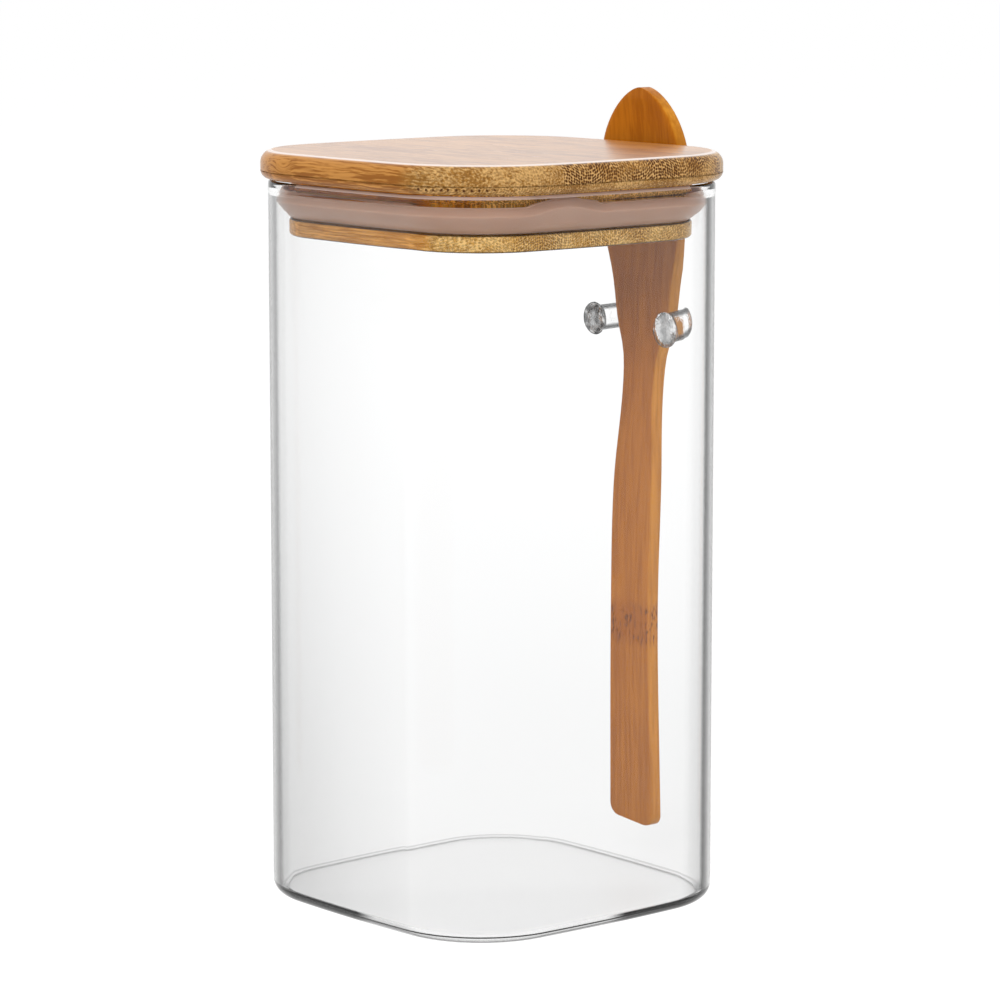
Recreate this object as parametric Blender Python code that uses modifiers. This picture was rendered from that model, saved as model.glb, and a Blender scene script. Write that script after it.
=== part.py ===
"""A square glass storage jar with a bamboo lid, a silicone seal and a bamboo spoon.

Units are metres and +Z is up. The jar's axis is the Z axis and its base stands on
z = 0. The two glass pegs, and the spoon that hangs between them, are on its +X side.
Run it in Blender 4.5: blender --background --python part.py
"""

import math

import bmesh
import bpy
from mathutils import Vector

# Clearance between pieces that touch on the real jar
GAP = 0.0003
# How far a cutter or a joined shape runs past the face it meets
OVERRUN = 0.001
# Points closer than this are one point
MERGE = 0.00001

# Glass body: a rounded square whose sides bow out a little
BODY_SIDE = 0.100
BODY_CORNER_RADIUS = 0.027
BODY_SIDE_RADIUS = 0.480
BODY_HEIGHT = 0.1914
WALL = 0.0018
HEEL_RADIUS = 0.004
RIM_ROUNDING = 0.0007
RIM_EDGE_ANGLE = math.radians(60)
RIM_BEAD_RADIUS = 0.0010
RIM_BEAD_PROUD = 0.00025
RIM_BEAD_DROP = 0.0025

# Lid: four bamboo layers cut to an overhanging plate and a plug with a groove round it
LID_OVERHANG = 0.00235
LID_CORNER_RADIUS = 0.0305
LID_SIDE_RADIUS = 0.510
PLATE_THICKNESS = 0.0076
PLATE_TOP_ROUNDING = 0.0030
PLATE_UNDER_ROUNDING = 0.0016
PLY_THICKNESS = 0.00543
PLUG_THICKNESS = 0.0045
PLUG_CLEARANCE = 0.0043
PLUG_ROUNDING = 0.0009
GROOVE_DEPTH = 0.0015

# Seal: a ring in the neck's groove with a lip that flares up to the glass and curls in above it
SEAL_BODY_HEIGHT = 0.0044
SEAL_WIDEST_HEIGHT = 0.0047
SEAL_LIP_HEIGHT = 0.0070
SEAL_LIP_CURL = 0.0011
SEAL_LIP_EDGE = 0.0008
SEAL_FOOT_INSET = 0.0004
SEAL_TROUGH_HEIGHT = 0.0026
SEAL_BELLY = 0.0005

# Pegs: glass rods fused to the outside of the wall, their axes this far below the rim
PEG_DROP = 0.0426
PEG_LENGTH = 0.0113
PEG_GAP = 0.0206
PEG_PAIR_CENTRE = 0.0007
LEFT_PEG_RADIUS = 0.00345
RIGHT_PEG_RADIUS = 0.00405
PEG_FLARE = 0.0011
PEG_FLARE_LENGTH = 0.0014
PEG_TIP_ROUNDING = 0.0012
RIGHT_PEG_TILT = math.radians(4)

# Spoon: a bent bamboo spoon, bowl up, with its hollow towards the jar
SPOON_LENGTH = 0.2021
SPOON_THICKNESS = 0.0039
BOWL_WIDTH = 0.0310
BOWL_THICKNESS = 0.0044
TIP_THICKNESS = 0.0036
BOWL_DEPTH = 0.0017
NECK_WIDTH = 0.0124
NECK_TOP_WIDTH = 0.0136
HANDLE_WIDTH = 0.0154
FOOT_WIDTH = 0.0172
FOOT_CORNER_RADIUS = 0.0030
FOOT_STANDOFF = 0.0012
FOOT_SLANT = math.radians(3)
LID_EDGE_CLEARANCE = 0.0004
NECK_BOW = 0.0015
SHOULDER_SLOPE = math.radians(14.5)

# Places along the spoon, as shares of its length from the foot
HANDLE_LOW_SHARE = 0.28
HANDLE_HIGH_SHARE = 0.46
NECK_SHARE = 0.575
NECK_TOP_SHARE = 0.635
SEAT_SHARE = 0.679
SHOULDER_SHARE = 0.74
BOWL_SIDE_SHARE = 0.80
BOWL_WIDEST_SHARE = 0.893
DISH_START_SHARE = 0.73
DISH_END_SHARE = 0.985

# The bowl's sides there, as shares of its greatest half width
SHOULDER_WIDTH_SHARE = 0.79
BOWL_SIDE_WIDTH_SHARE = 0.94
# The hollow's width, as a share of the bowl's width at the same place
DISH_WIDTH_SHARE = 0.90
# How far the spoon has bowed out there, as a share of its bow at the seat
HANDLE_HIGH_BOW_SHARE = 0.21
NECK_TOP_BOW_SHARE = 0.88

# Steps along arcs and round sections
SIDE_STEPS = 4
CORNER_STEPS = 11
HEEL_SEGMENTS = 5
EDGE_SEGMENTS = 4
RIM_SEGMENTS = 2
PEG_STEPS = 28
SECTION_STEPS = 24
SECTION_POWER = 5
DISH_POWER = 0.7
BOWL_TIP_POWER = 0.62
SPOON_STEPS = 22
TIP_STEPS = 9
SHARP_ANGLE = math.radians(35)

BAMBOO = (0.56, 0.33, 0.13)
SPOON_BAMBOO = (0.42, 0.19, 0.06)


def clear_scene():
    """Removes every object that the scene starts with."""
    for obj in list(bpy.data.objects):
        bpy.data.objects.remove(obj, do_unlink=True)


def new_collection(name):
    """Adds a collection to the scene."""
    collection = bpy.data.collections.new(name)
    bpy.context.scene.collection.children.link(collection)
    return collection


def principled(name, colour, roughness, transmission=0.0, ior=1.5):
    """A Principled BSDF material."""
    material = bpy.data.materials.new(name)
    material.use_nodes = True
    shader = material.node_tree.nodes["Principled BSDF"]
    shader.inputs["Base Color"].default_value = (*colour, 1.0)
    shader.inputs["Roughness"].default_value = roughness
    shader.inputs["Metallic"].default_value = 0.0
    shader.inputs["Transmission Weight"].default_value = transmission
    shader.inputs["IOR"].default_value = ior
    return material


def glass(name):
    """Clear borosilicate glass."""
    return principled(name, (0.97, 0.98, 0.98), 0.02, transmission=1.0, ior=1.47)


def bamboo(name):
    """Pale carbonised bamboo with a satin finish."""
    return principled(name, BAMBOO, 0.42)


def spoon_bamboo(name):
    """The spoon's darker bamboo."""
    return principled(name, SPOON_BAMBOO, 0.48)


def silicone(name):
    """Milky silicone rubber."""
    return principled(name, (0.62, 0.54, 0.48), 0.38)


def steps(first, last, count):
    """The ends of a range and the even places between them."""
    return [first + (last - first) * i / count for i in range(count + 1)]


def rounded_square(half_side, corner_radius, side_radius, offset=0.0):
    """Points round a square with bowed sides and round corners, moved outwards by offset.

    The side arcs and the corner arcs run into each other without a kink.
    """
    half_side += offset
    corner_radius += offset
    side_radius += offset
    between = side_radius - corner_radius
    turn = math.pi / 4 - math.asin((side_radius - half_side) / (math.sqrt(2) * between))
    corner = between * math.sin(turn)
    quarter = [
        Vector((half_side - side_radius + side_radius * math.cos(a), side_radius * math.sin(a), 0))
        for a in steps(-turn, turn, SIDE_STEPS)
    ]
    quarter += [
        Vector((corner + corner_radius * math.cos(a), corner + corner_radius * math.sin(a), 0))
        for a in steps(turn, math.pi / 2 - turn, CORNER_STEPS)[1:-1]
    ]
    points = []
    for _ in range(4):
        points += [point.copy() for point in quarter]
        quarter = [Vector((-point.y, point.x, 0)) for point in quarter]
    return points


def body_outline(offset=0.0):
    """The plan of the glass body's outer face, moved outwards by offset."""
    return rounded_square(BODY_SIDE / 2, BODY_CORNER_RADIUS, BODY_SIDE_RADIUS, offset)


def lid_outline():
    """The plan of the lid's overhanging plate."""
    return rounded_square(BODY_SIDE / 2 + LID_OVERHANG, LID_CORNER_RADIUS, LID_SIDE_RADIUS)


def plug_outline():
    """The plan of the plug, which goes into the mouth."""
    return body_outline(-WALL - PLUG_CLEARANCE)


def groove_outline():
    """The plan of the floor of the plug's groove, which the seal goes round."""
    return body_outline(-WALL - PLUG_CLEARANCE - GROOVE_DEPTH)


def closed_curve(name, points, fill="NONE"):
    """A closed 2D curve object through the points, linked so that it can be evaluated."""
    curve = bpy.data.curves.new(name, "CURVE")
    curve.dimensions = "2D"
    curve.fill_mode = fill
    spline = curve.splines.new("POLY")
    spline.points.add(len(points) - 1)
    for knot, point in zip(spline.points, points):
        knot.co = (*point, 1.0)
    spline.use_cyclic_u = True
    guide = bpy.data.objects.new(name, curve)
    bpy.context.scene.collection.objects.link(guide)
    return guide


def mesh_from(guide):
    """The mesh that a curve object makes, with its doubles merged. The curve is removed."""
    bpy.context.view_layer.update()
    graph = bpy.context.evaluated_depsgraph_get()
    mesh = bpy.data.meshes.new_from_object(guide.evaluated_get(graph))
    curve = guide.data
    bpy.data.objects.remove(guide)
    bpy.data.curves.remove(curve)
    bm = bmesh.new()
    bm.from_mesh(mesh)
    bmesh.ops.remove_doubles(bm, verts=bm.verts, dist=MERGE)
    bmesh.ops.recalc_face_normals(bm, faces=bm.faces)
    bm.to_mesh(mesh)
    bm.free()
    return mesh


def round_edges(bm, edges, radius, segments):
    """Rounds these edges of a mesh."""
    bmesh.ops.bevel(bm, geom=edges, offset=radius, segments=segments, profile=0.5, affect="EDGES")


def slab_mesh(name, points, bottom, top, bottom_rounding=0.0, top_rounding=0.0):
    """A flat outline made thick between two heights, with its bottom and top edges rounded."""
    guide = closed_curve(name, points, fill="BOTH")
    guide.data.extrude = (top - bottom) / 2
    mesh = mesh_from(guide)
    bm = bmesh.new()
    bm.from_mesh(mesh)
    bmesh.ops.translate(bm, verts=bm.verts, vec=(0, 0, (top + bottom) / 2))
    for level, rounding in ((bottom, bottom_rounding), (top, top_rounding)):
        caps = [f for f in bm.faces if all(abs(v.co.z - level) < MERGE for v in f.verts)]
        bmesh.ops.dissolve_faces(bm, faces=caps)
        edges = [e for e in bm.edges if all(abs(v.co.z - level) < MERGE for v in e.verts)]
        if rounding > 0:
            round_edges(bm, edges, rounding, EDGE_SEGMENTS)
    bm.to_mesh(mesh)
    bm.free()
    return mesh


def add_object(name, mesh, collection, material=None, parent=None):
    """Adds a mesh as a smooth-shaded object."""
    obj = bpy.data.objects.new(name, mesh)
    collection.objects.link(obj)
    mesh.shade_smooth()
    mesh.set_sharp_from_angle(angle=SHARP_ANGLE)
    if material:
        mesh.materials.append(material)
    obj.parent = parent
    return obj


def add_cutter(name, mesh, cutters, parent=None):
    """Adds a mesh that only shapes other objects."""
    obj = add_object(name, mesh, cutters, parent=parent)
    obj.hide_render = True
    obj.display_type = "WIRE"
    return obj


def combine(obj, other, operation):
    """Joins another solid to this one, or cuts it away."""
    modifier = obj.modifiers.new(other.name, "BOOLEAN")
    modifier.operation = operation
    modifier.solver = "EXACT"
    modifier.object = other


def rim_bead(cutters):
    """The bead that the flame leaves round the rim."""
    guide = closed_curve("rim_bead", body_outline(RIM_BEAD_PROUD - RIM_BEAD_RADIUS))
    guide.data.bevel_depth = RIM_BEAD_RADIUS
    guide.data.bevel_resolution = 2
    bead = add_cutter("rim_bead", mesh_from(guide), cutters)
    bead.location.z = BODY_HEIGHT - RIM_BEAD_DROP
    return bead


def glass_jar(parts, cutters):
    """The glass body: an open shell with a rounded heel, a wall and a fire-polished rim."""
    mesh = slab_mesh("glass_jar", body_outline(), 0, BODY_HEIGHT)
    bm = bmesh.new()
    bm.from_mesh(mesh)
    mouth = [f for f in bm.faces if f.calc_center_median().z > BODY_HEIGHT - MERGE]
    bmesh.ops.delete(bm, geom=mouth, context="FACES_ONLY")
    heel = [e for e in bm.edges if all(v.co.z < MERGE for v in e.verts)]
    round_edges(bm, heel, HEEL_RADIUS, HEEL_SEGMENTS)
    bm.to_mesh(mesh)
    bm.free()
    jar = add_object("glass_jar", mesh, parts, glass("jar_glass"))
    wall = jar.modifiers.new("wall", "SOLIDIFY")
    wall.thickness = WALL
    wall.offset = -1
    wall.use_even_offset = True
    rim = jar.modifiers.new("rim", "BEVEL")
    rim.width = RIM_ROUNDING
    rim.segments = RIM_SEGMENTS
    rim.limit_method = "ANGLE"
    rim.angle_limit = RIM_EDGE_ANGLE
    combine(jar, rim_bead(cutters), "UNION")
    return jar


def ply_levels(index):
    """The bottom and top of a lid layer, counted from the top one, from the plate's underside."""
    top = PLATE_THICKNESS - index * (PLY_THICKNESS + GAP)
    return top - PLY_THICKNESS, top


def lid_face_ply(parts, lid):
    """The lid's top layer, with the big rounding round the top face."""
    bottom, top = ply_levels(0)
    mesh = slab_mesh("lid_face_ply", lid_outline(), bottom, top, top_rounding=PLATE_TOP_ROUNDING)
    return add_object("lid_face_ply", mesh, parts, bamboo("face_bamboo"), lid)


def lid_rim_ply(parts, cutters, lid):
    """The second layer: the plate's underside, which rests on the rim, and the top of the plug."""
    bottom, top = ply_levels(1)
    plate = slab_mesh("lid_rim_ply", lid_outline(), 0, top, bottom_rounding=PLATE_UNDER_ROUNDING)
    ply = add_object("lid_rim_ply", plate, parts, bamboo("rim_bamboo"), lid)
    flange = slab_mesh("rim_ply_flange", plug_outline(), bottom, OVERRUN)
    combine(ply, add_cutter("rim_ply_flange", flange, cutters, lid), "UNION")
    return ply


def lid_neck_ply(parts, lid):
    """The third layer, which is all the floor of the groove."""
    bottom, top = ply_levels(2)
    mesh = slab_mesh("lid_neck_ply", groove_outline(), bottom, top)
    return add_object("lid_neck_ply", mesh, parts, bamboo("neck_bamboo"), lid)


def plug_top():
    """The height of the plug plate's upper face, from the plate's underside."""
    return ply_levels(3)[0] + PLUG_THICKNESS


def lid_plug_ply(parts, cutters, lid):
    """The lowest layer: the plug plate below the groove and a short piece of the groove's floor."""
    bottom, top = ply_levels(3)
    plate = slab_mesh("lid_plug_ply", plug_outline(), bottom, plug_top(), PLUG_ROUNDING, PLUG_ROUNDING)
    ply = add_object("lid_plug_ply", plate, parts, bamboo("plug_bamboo"), lid)
    neck = slab_mesh("plug_ply_neck", groove_outline(), plug_top() - OVERRUN, top)
    combine(ply, add_cutter("plug_ply_neck", neck, cutters, lid), "UNION")
    return ply


def seal_profile():
    """The seal's section: distance inwards from the glass body's outer face, and height."""
    inner = WALL + PLUG_CLEARANCE + GROOVE_DEPTH - GAP
    foot = WALL + PLUG_CLEARANCE + SEAL_FOOT_INSET
    widest = WALL + GAP
    curl = widest + SEAL_LIP_CURL
    ridge = (inner + foot) / 2
    low = plug_top() + GAP
    lip = low + SEAL_WIDEST_HEIGHT
    return [
        Vector((inner, low, 0)),
        Vector((foot, low, 0)),
        Vector(((foot + widest) / 2 - SEAL_BELLY, (low + lip) / 2 - SEAL_BELLY, 0)),
        Vector((widest, lip - SEAL_LIP_EDGE / 2, 0)),
        Vector((widest, lip + SEAL_LIP_EDGE / 2, 0)),
        Vector((curl, low + SEAL_LIP_HEIGHT, 0)),
        Vector((curl + SEAL_LIP_EDGE, low + SEAL_LIP_HEIGHT, 0)),
        Vector((curl, lip, 0)),
        Vector(((ridge + widest) / 2, low + SEAL_TROUGH_HEIGHT, 0)),
        Vector((ridge, low + SEAL_BODY_HEIGHT, 0)),
        Vector((inner, low + SEAL_BODY_HEIGHT, 0)),
    ]


def seal_ring(parts, lid):
    """The silicone ring: its section swept round the plug."""
    section = closed_curve("seal_section", seal_profile())
    guide = closed_curve("seal_ring", body_outline())
    guide.data.bevel_mode = "OBJECT"
    guide.data.bevel_object = section
    mesh = mesh_from(guide)
    section_curve = section.data
    bpy.data.objects.remove(section)
    bpy.data.curves.remove(section_curve)
    return add_object("seal_ring", mesh, parts, silicone("seal_silicone"), lid)


def wall_x(y):
    """How far out the +X wall's outer face lies at this y."""
    return BODY_SIDE / 2 - BODY_SIDE_RADIUS + math.sqrt(BODY_SIDE_RADIUS**2 - y**2)


def peg_profile(radius):
    """A peg's half section, from its round tip to its flared root: radius and height."""
    tip_radius = radius - PEG_TIP_ROUNDING
    tip_height = PEG_LENGTH - PEG_TIP_ROUNDING
    quarter = steps(0, math.pi / 2, EDGE_SEGMENTS)
    tip = [
        Vector((tip_radius + PEG_TIP_ROUNDING * math.sin(a), 0, tip_height + PEG_TIP_ROUNDING * math.cos(a)))
        for a in quarter
    ]
    root = [
        Vector((radius + PEG_FLARE * (1 - math.cos(a)), 0, GAP + PEG_FLARE_LENGTH * (1 - math.sin(a))))
        for a in quarter
    ]
    foot = Vector((root[-1].x, 0, -OVERRUN))
    return [Vector((0, 0, PEG_LENGTH)), *tip, *root, foot, Vector((0, 0, -OVERRUN))]


def glass_peg(name, radius, y, tilt, parts, envelope):
    """A turned glass rod whose root is shaped to the wall it is fused to."""
    points = peg_profile(radius)
    mesh = bpy.data.meshes.new(name)
    mesh.from_pydata(points, [(i, i + 1) for i in range(len(points) - 1)], [])
    peg = add_object(name, mesh, parts, glass(name + "_glass"))
    peg.location = (wall_x(y), y, BODY_HEIGHT - PEG_DROP)
    peg.rotation_euler = (0, math.pi / 2 - tilt, 0)
    turned = peg.modifiers.new("turned", "SCREW")
    turned.steps = PEG_STEPS
    turned.render_steps = PEG_STEPS
    turned.use_merge_vertices = True
    turned.merge_threshold = MERGE
    combine(peg, envelope, "DIFFERENCE")
    return peg


def glass_pegs(parts, cutters):
    """Both pegs, one on each side of the spoon's neck."""
    outside = slab_mesh("jar_envelope", body_outline(GAP), 0, BODY_HEIGHT)
    envelope = add_cutter("jar_envelope", outside, cutters)
    left = PEG_PAIR_CENTRE + PEG_GAP / 2 + LEFT_PEG_RADIUS
    right = PEG_PAIR_CENTRE - PEG_GAP / 2 - RIGHT_PEG_RADIUS
    glass_peg("glass_peg_left", LEFT_PEG_RADIUS, left, 0, parts, envelope)
    glass_peg("glass_peg_right", RIGHT_PEG_RADIUS, right, RIGHT_PEG_TILT, parts, envelope)


def smooth_through(stations, place):
    """The value at a place on a smooth curve through (place, value) stations."""
    places = [station[0] for station in stations]
    values = [station[1] for station in stations]
    last = len(stations) - 1
    slopes = []
    for i in range(last + 1):
        before, after = max(i - 1, 0), min(i + 1, last)
        slopes.append((values[after] - values[before]) / (places[after] - places[before]))
    i = min(max(sum(place >= p for p in places) - 1, 0), last - 1)
    span = places[i + 1] - places[i]
    t = (place - places[i]) / span
    return (
        values[i] * (1 + 2 * t) * (1 - t) ** 2
        + values[i + 1] * t**2 * (3 - 2 * t)
        + slopes[i] * span * t * (1 - t) ** 2
        - slopes[i + 1] * span * t**2 * (1 - t)
    )


def seat_half_width():
    """The spoon's half width between the pegs, where its shoulders rest on them."""
    radius = max(LEFT_PEG_RADIUS, RIGHT_PEG_RADIUS)
    return PEG_GAP / 2 + radius - (radius + GAP) / math.cos(SHOULDER_SLOPE)


def spoon_half_width(share):
    """Half the spoon's width at a share of its length."""
    if share > BOWL_WIDEST_SHARE:
        beyond = (share - BOWL_WIDEST_SHARE) / (1 - BOWL_WIDEST_SHARE)
        return BOWL_WIDTH / 2 * max(1 - beyond**2, 0) ** BOWL_TIP_POWER
    stations = (
        (0, FOOT_WIDTH / 2),
        (HANDLE_LOW_SHARE, HANDLE_WIDTH / 2),
        (HANDLE_HIGH_SHARE, HANDLE_WIDTH / 2),
        (NECK_SHARE, NECK_WIDTH / 2),
        (NECK_TOP_SHARE, NECK_TOP_WIDTH / 2),
        (SEAT_SHARE, seat_half_width()),
        (SHOULDER_SHARE, BOWL_WIDTH / 2 * SHOULDER_WIDTH_SHARE),
        (BOWL_SIDE_SHARE, BOWL_WIDTH / 2 * BOWL_SIDE_WIDTH_SHARE),
        (BOWL_WIDEST_SHARE, BOWL_WIDTH / 2),
    )
    width = smooth_through(stations, share)
    height = share * SPOON_LENGTH
    if height < FOOT_CORNER_RADIUS:
        width -= FOOT_CORNER_RADIUS - math.sqrt(FOOT_CORNER_RADIUS**2 - (FOOT_CORNER_RADIUS - height) ** 2)
    return width


def spoon_standoff(share):
    """How far the spoon's near face stands off the wall: the handle lies on it, the neck bows out."""
    tip = LID_OVERHANG + LID_EDGE_CLEARANCE
    stations = (
        (0, FOOT_STANDOFF),
        (HANDLE_LOW_SHARE, GAP),
        (HANDLE_HIGH_SHARE, GAP + (tip + NECK_BOW) * HANDLE_HIGH_BOW_SHARE),
        (NECK_TOP_SHARE, (tip + NECK_BOW) * NECK_TOP_BOW_SHARE),
        (SEAT_SHARE, tip + NECK_BOW),
        (SHOULDER_SHARE, tip + NECK_BOW),
        (BOWL_WIDEST_SHARE, tip + LID_EDGE_CLEARANCE / 2),
        (1, tip),
    )
    return smooth_through(stations, share)


def bowl_share(share):
    """0 outside the bowl's hollow, and up to 1 at its middle."""
    if not DISH_START_SHARE < share < DISH_END_SHARE:
        return 0.0
    across = (share - DISH_START_SHARE) / (DISH_END_SHARE - DISH_START_SHARE)
    return math.sin(math.pi * across) ** DISH_POWER


def spoon_thickness(share):
    """The spoon's thickness at a share of its length: fullest from the neck to the bowl."""
    stations = (
        (0, SPOON_THICKNESS),
        (SEAT_SHARE, BOWL_THICKNESS),
        (BOWL_SIDE_SHARE, BOWL_THICKNESS),
        (BOWL_WIDEST_SHARE, BOWL_THICKNESS),
        (1, TIP_THICKNESS),
    )
    return smooth_through(stations, share)


def power_curve(value, power):
    """A sine or cosine raised to flatten a circle towards a rounded box."""
    return math.copysign(abs(value) ** (2 / power), value)


def spoon_section(share):
    """The points round the spoon at a share of its length, from its seat between the pegs."""
    half_width = spoon_half_width(share)
    hollow = bowl_share(share)
    thickness = spoon_thickness(share)
    near = spoon_standoff(share)
    height = (share - SEAT_SHARE) * SPOON_LENGTH
    slant = math.tan(FOOT_SLANT) * max(1 - share / HANDLE_LOW_SHARE, 0)
    ring = []
    for i in range(SECTION_STEPS):
        angle = 2 * math.pi * i / SECTION_STEPS
        across = power_curve(math.cos(angle), SECTION_POWER)
        depth = power_curve(math.sin(angle), SECTION_POWER)
        x = near + thickness * (1 + depth) / 2
        if depth < 0:
            x += BOWL_DEPTH * hollow * max(1 - (across / DISH_WIDTH_SHARE) ** 2, 0)
        y = half_width * across
        ring.append(Vector((x, y, height + slant * y)))
    return ring


def spoon_places():
    """Shares of the length at which the spoon's sections stand, closest round its two ends."""
    foot = FOOT_CORNER_RADIUS / SPOON_LENGTH
    places = [foot * (1 - math.cos(a)) for a in steps(0, math.pi / 2, EDGE_SEGMENTS)][:-1]
    places += steps(foot, BOWL_WIDEST_SHARE, SPOON_STEPS)[:-1]
    tip = steps(0, math.pi / 2, TIP_STEPS)[:-1]
    places += [BOWL_WIDEST_SHARE + (1 - BOWL_WIDEST_SHARE) * math.sin(a) for a in tip]
    return [*places, 1 - MERGE / SPOON_LENGTH]


def loft(name, rings):
    """A closed mesh through rings that have the same number of points."""
    bm = bmesh.new()
    loops = [[bm.verts.new(point) for point in ring] for ring in rings]
    for low, high in zip(loops, loops[1:]):
        for i, vert in enumerate(low):
            j = (i + 1) % len(low)
            bm.faces.new((vert, low[j], high[j], high[i]))
    bm.faces.new(reversed(loops[0]))
    bm.faces.new(loops[-1])
    bmesh.ops.recalc_face_normals(bm, faces=bm.faces)
    mesh = bpy.data.meshes.new(name)
    bm.to_mesh(mesh)
    bm.free()
    return mesh


def spoon(parts):
    """The spoon, whose origin is on the wall between the pegs, where its shoulders rest."""
    rings = [spoon_section(share) for share in spoon_places()]
    obj = add_object("spoon", loft("spoon", rings), parts, spoon_bamboo("spoon_bamboo"))
    obj.location = (BODY_SIDE / 2, PEG_PAIR_CENTRE, BODY_HEIGHT - PEG_DROP)
    return obj


def lid_empty(parts):
    """The lid's own frame: its origin is on the jar's axis, on the plate's underside."""
    empty = bpy.data.objects.new("lid_frame", None)
    parts.objects.link(empty)
    empty.location = (0, 0, BODY_HEIGHT + GAP)
    return empty


def main():
    """Builds the jar."""
    clear_scene()
    parts = new_collection("glass_storage_jar")
    cutters = new_collection("cutters")
    glass_jar(parts, cutters)
    glass_pegs(parts, cutters)
    lid = lid_empty(parts)
    lid_face_ply(parts, lid)
    lid_rim_ply(parts, cutters, lid)
    lid_neck_ply(parts, lid)
    lid_plug_ply(parts, cutters, lid)
    seal_ring(parts, lid)
    spoon(parts)


main()
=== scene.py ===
"""A square glass storage jar with a bamboo lid, a silicone seal and a bamboo spoon.

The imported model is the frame. Every one of its pieces is modelled here again with a finer
surface, in metres, with +Z up, the jar's axis on the Z axis and its base on z = 0. The
pegs and the spoon are on the +X side.
"""

import logging
import math
from collections.abc import Callable, Iterator, Sequence
from dataclasses import dataclass, field
from enum import Enum

import bmesh
import bpy
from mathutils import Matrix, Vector


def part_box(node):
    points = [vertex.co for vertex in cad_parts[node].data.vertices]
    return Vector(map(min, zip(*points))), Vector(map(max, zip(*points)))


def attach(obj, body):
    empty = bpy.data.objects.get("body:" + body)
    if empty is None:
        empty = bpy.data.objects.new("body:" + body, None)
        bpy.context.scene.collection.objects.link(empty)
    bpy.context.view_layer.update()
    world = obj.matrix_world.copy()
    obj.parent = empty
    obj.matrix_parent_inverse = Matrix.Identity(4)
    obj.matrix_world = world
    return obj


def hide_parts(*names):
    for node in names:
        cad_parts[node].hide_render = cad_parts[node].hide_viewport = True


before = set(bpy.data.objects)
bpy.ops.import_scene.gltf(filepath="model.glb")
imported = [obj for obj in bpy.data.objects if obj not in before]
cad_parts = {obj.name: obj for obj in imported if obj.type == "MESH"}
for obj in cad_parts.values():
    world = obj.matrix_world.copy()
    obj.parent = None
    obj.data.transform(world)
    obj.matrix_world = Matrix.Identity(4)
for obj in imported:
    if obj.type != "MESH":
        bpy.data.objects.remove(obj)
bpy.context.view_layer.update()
LOG = logging.getLogger("glass_storage_jar")

Colour = tuple[float, float, float]
Place = tuple[float, float, float]
Point = tuple[float, float]
Span = tuple[float, float]
# Places in rising order, each with the value there
Curve = tuple[tuple[float, float], ...]
MM = 0.001
# Points closer than this are one point
MERGE = 0.002 * MM
AXIS = (0.0, 0.0, 1.0)
# The jar's two corners with the darkest painted outlines lie along this level direction
SIDEWAYS = (0.762, -0.647, 0.0)
# The corner between them lies along this one
FORWARD = (-0.647, -0.762, 0.0)


class Body(Enum):
    """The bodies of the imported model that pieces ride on."""

    JAR = "jar"
    LID = "lid"
    SPOON = "spoon"


class Grain(Enum):
    """Which way a piece's bamboo fibres run."""

    ACROSS = "y"
    UPRIGHT = "z"


class Fill(Enum):
    """A mix node's kind, with its two inputs and its output, for values and for colours."""

    VALUE = ("FLOAT", 2, 3, 0)
    RGBA = ("RGBA", 6, 7, 2)


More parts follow.
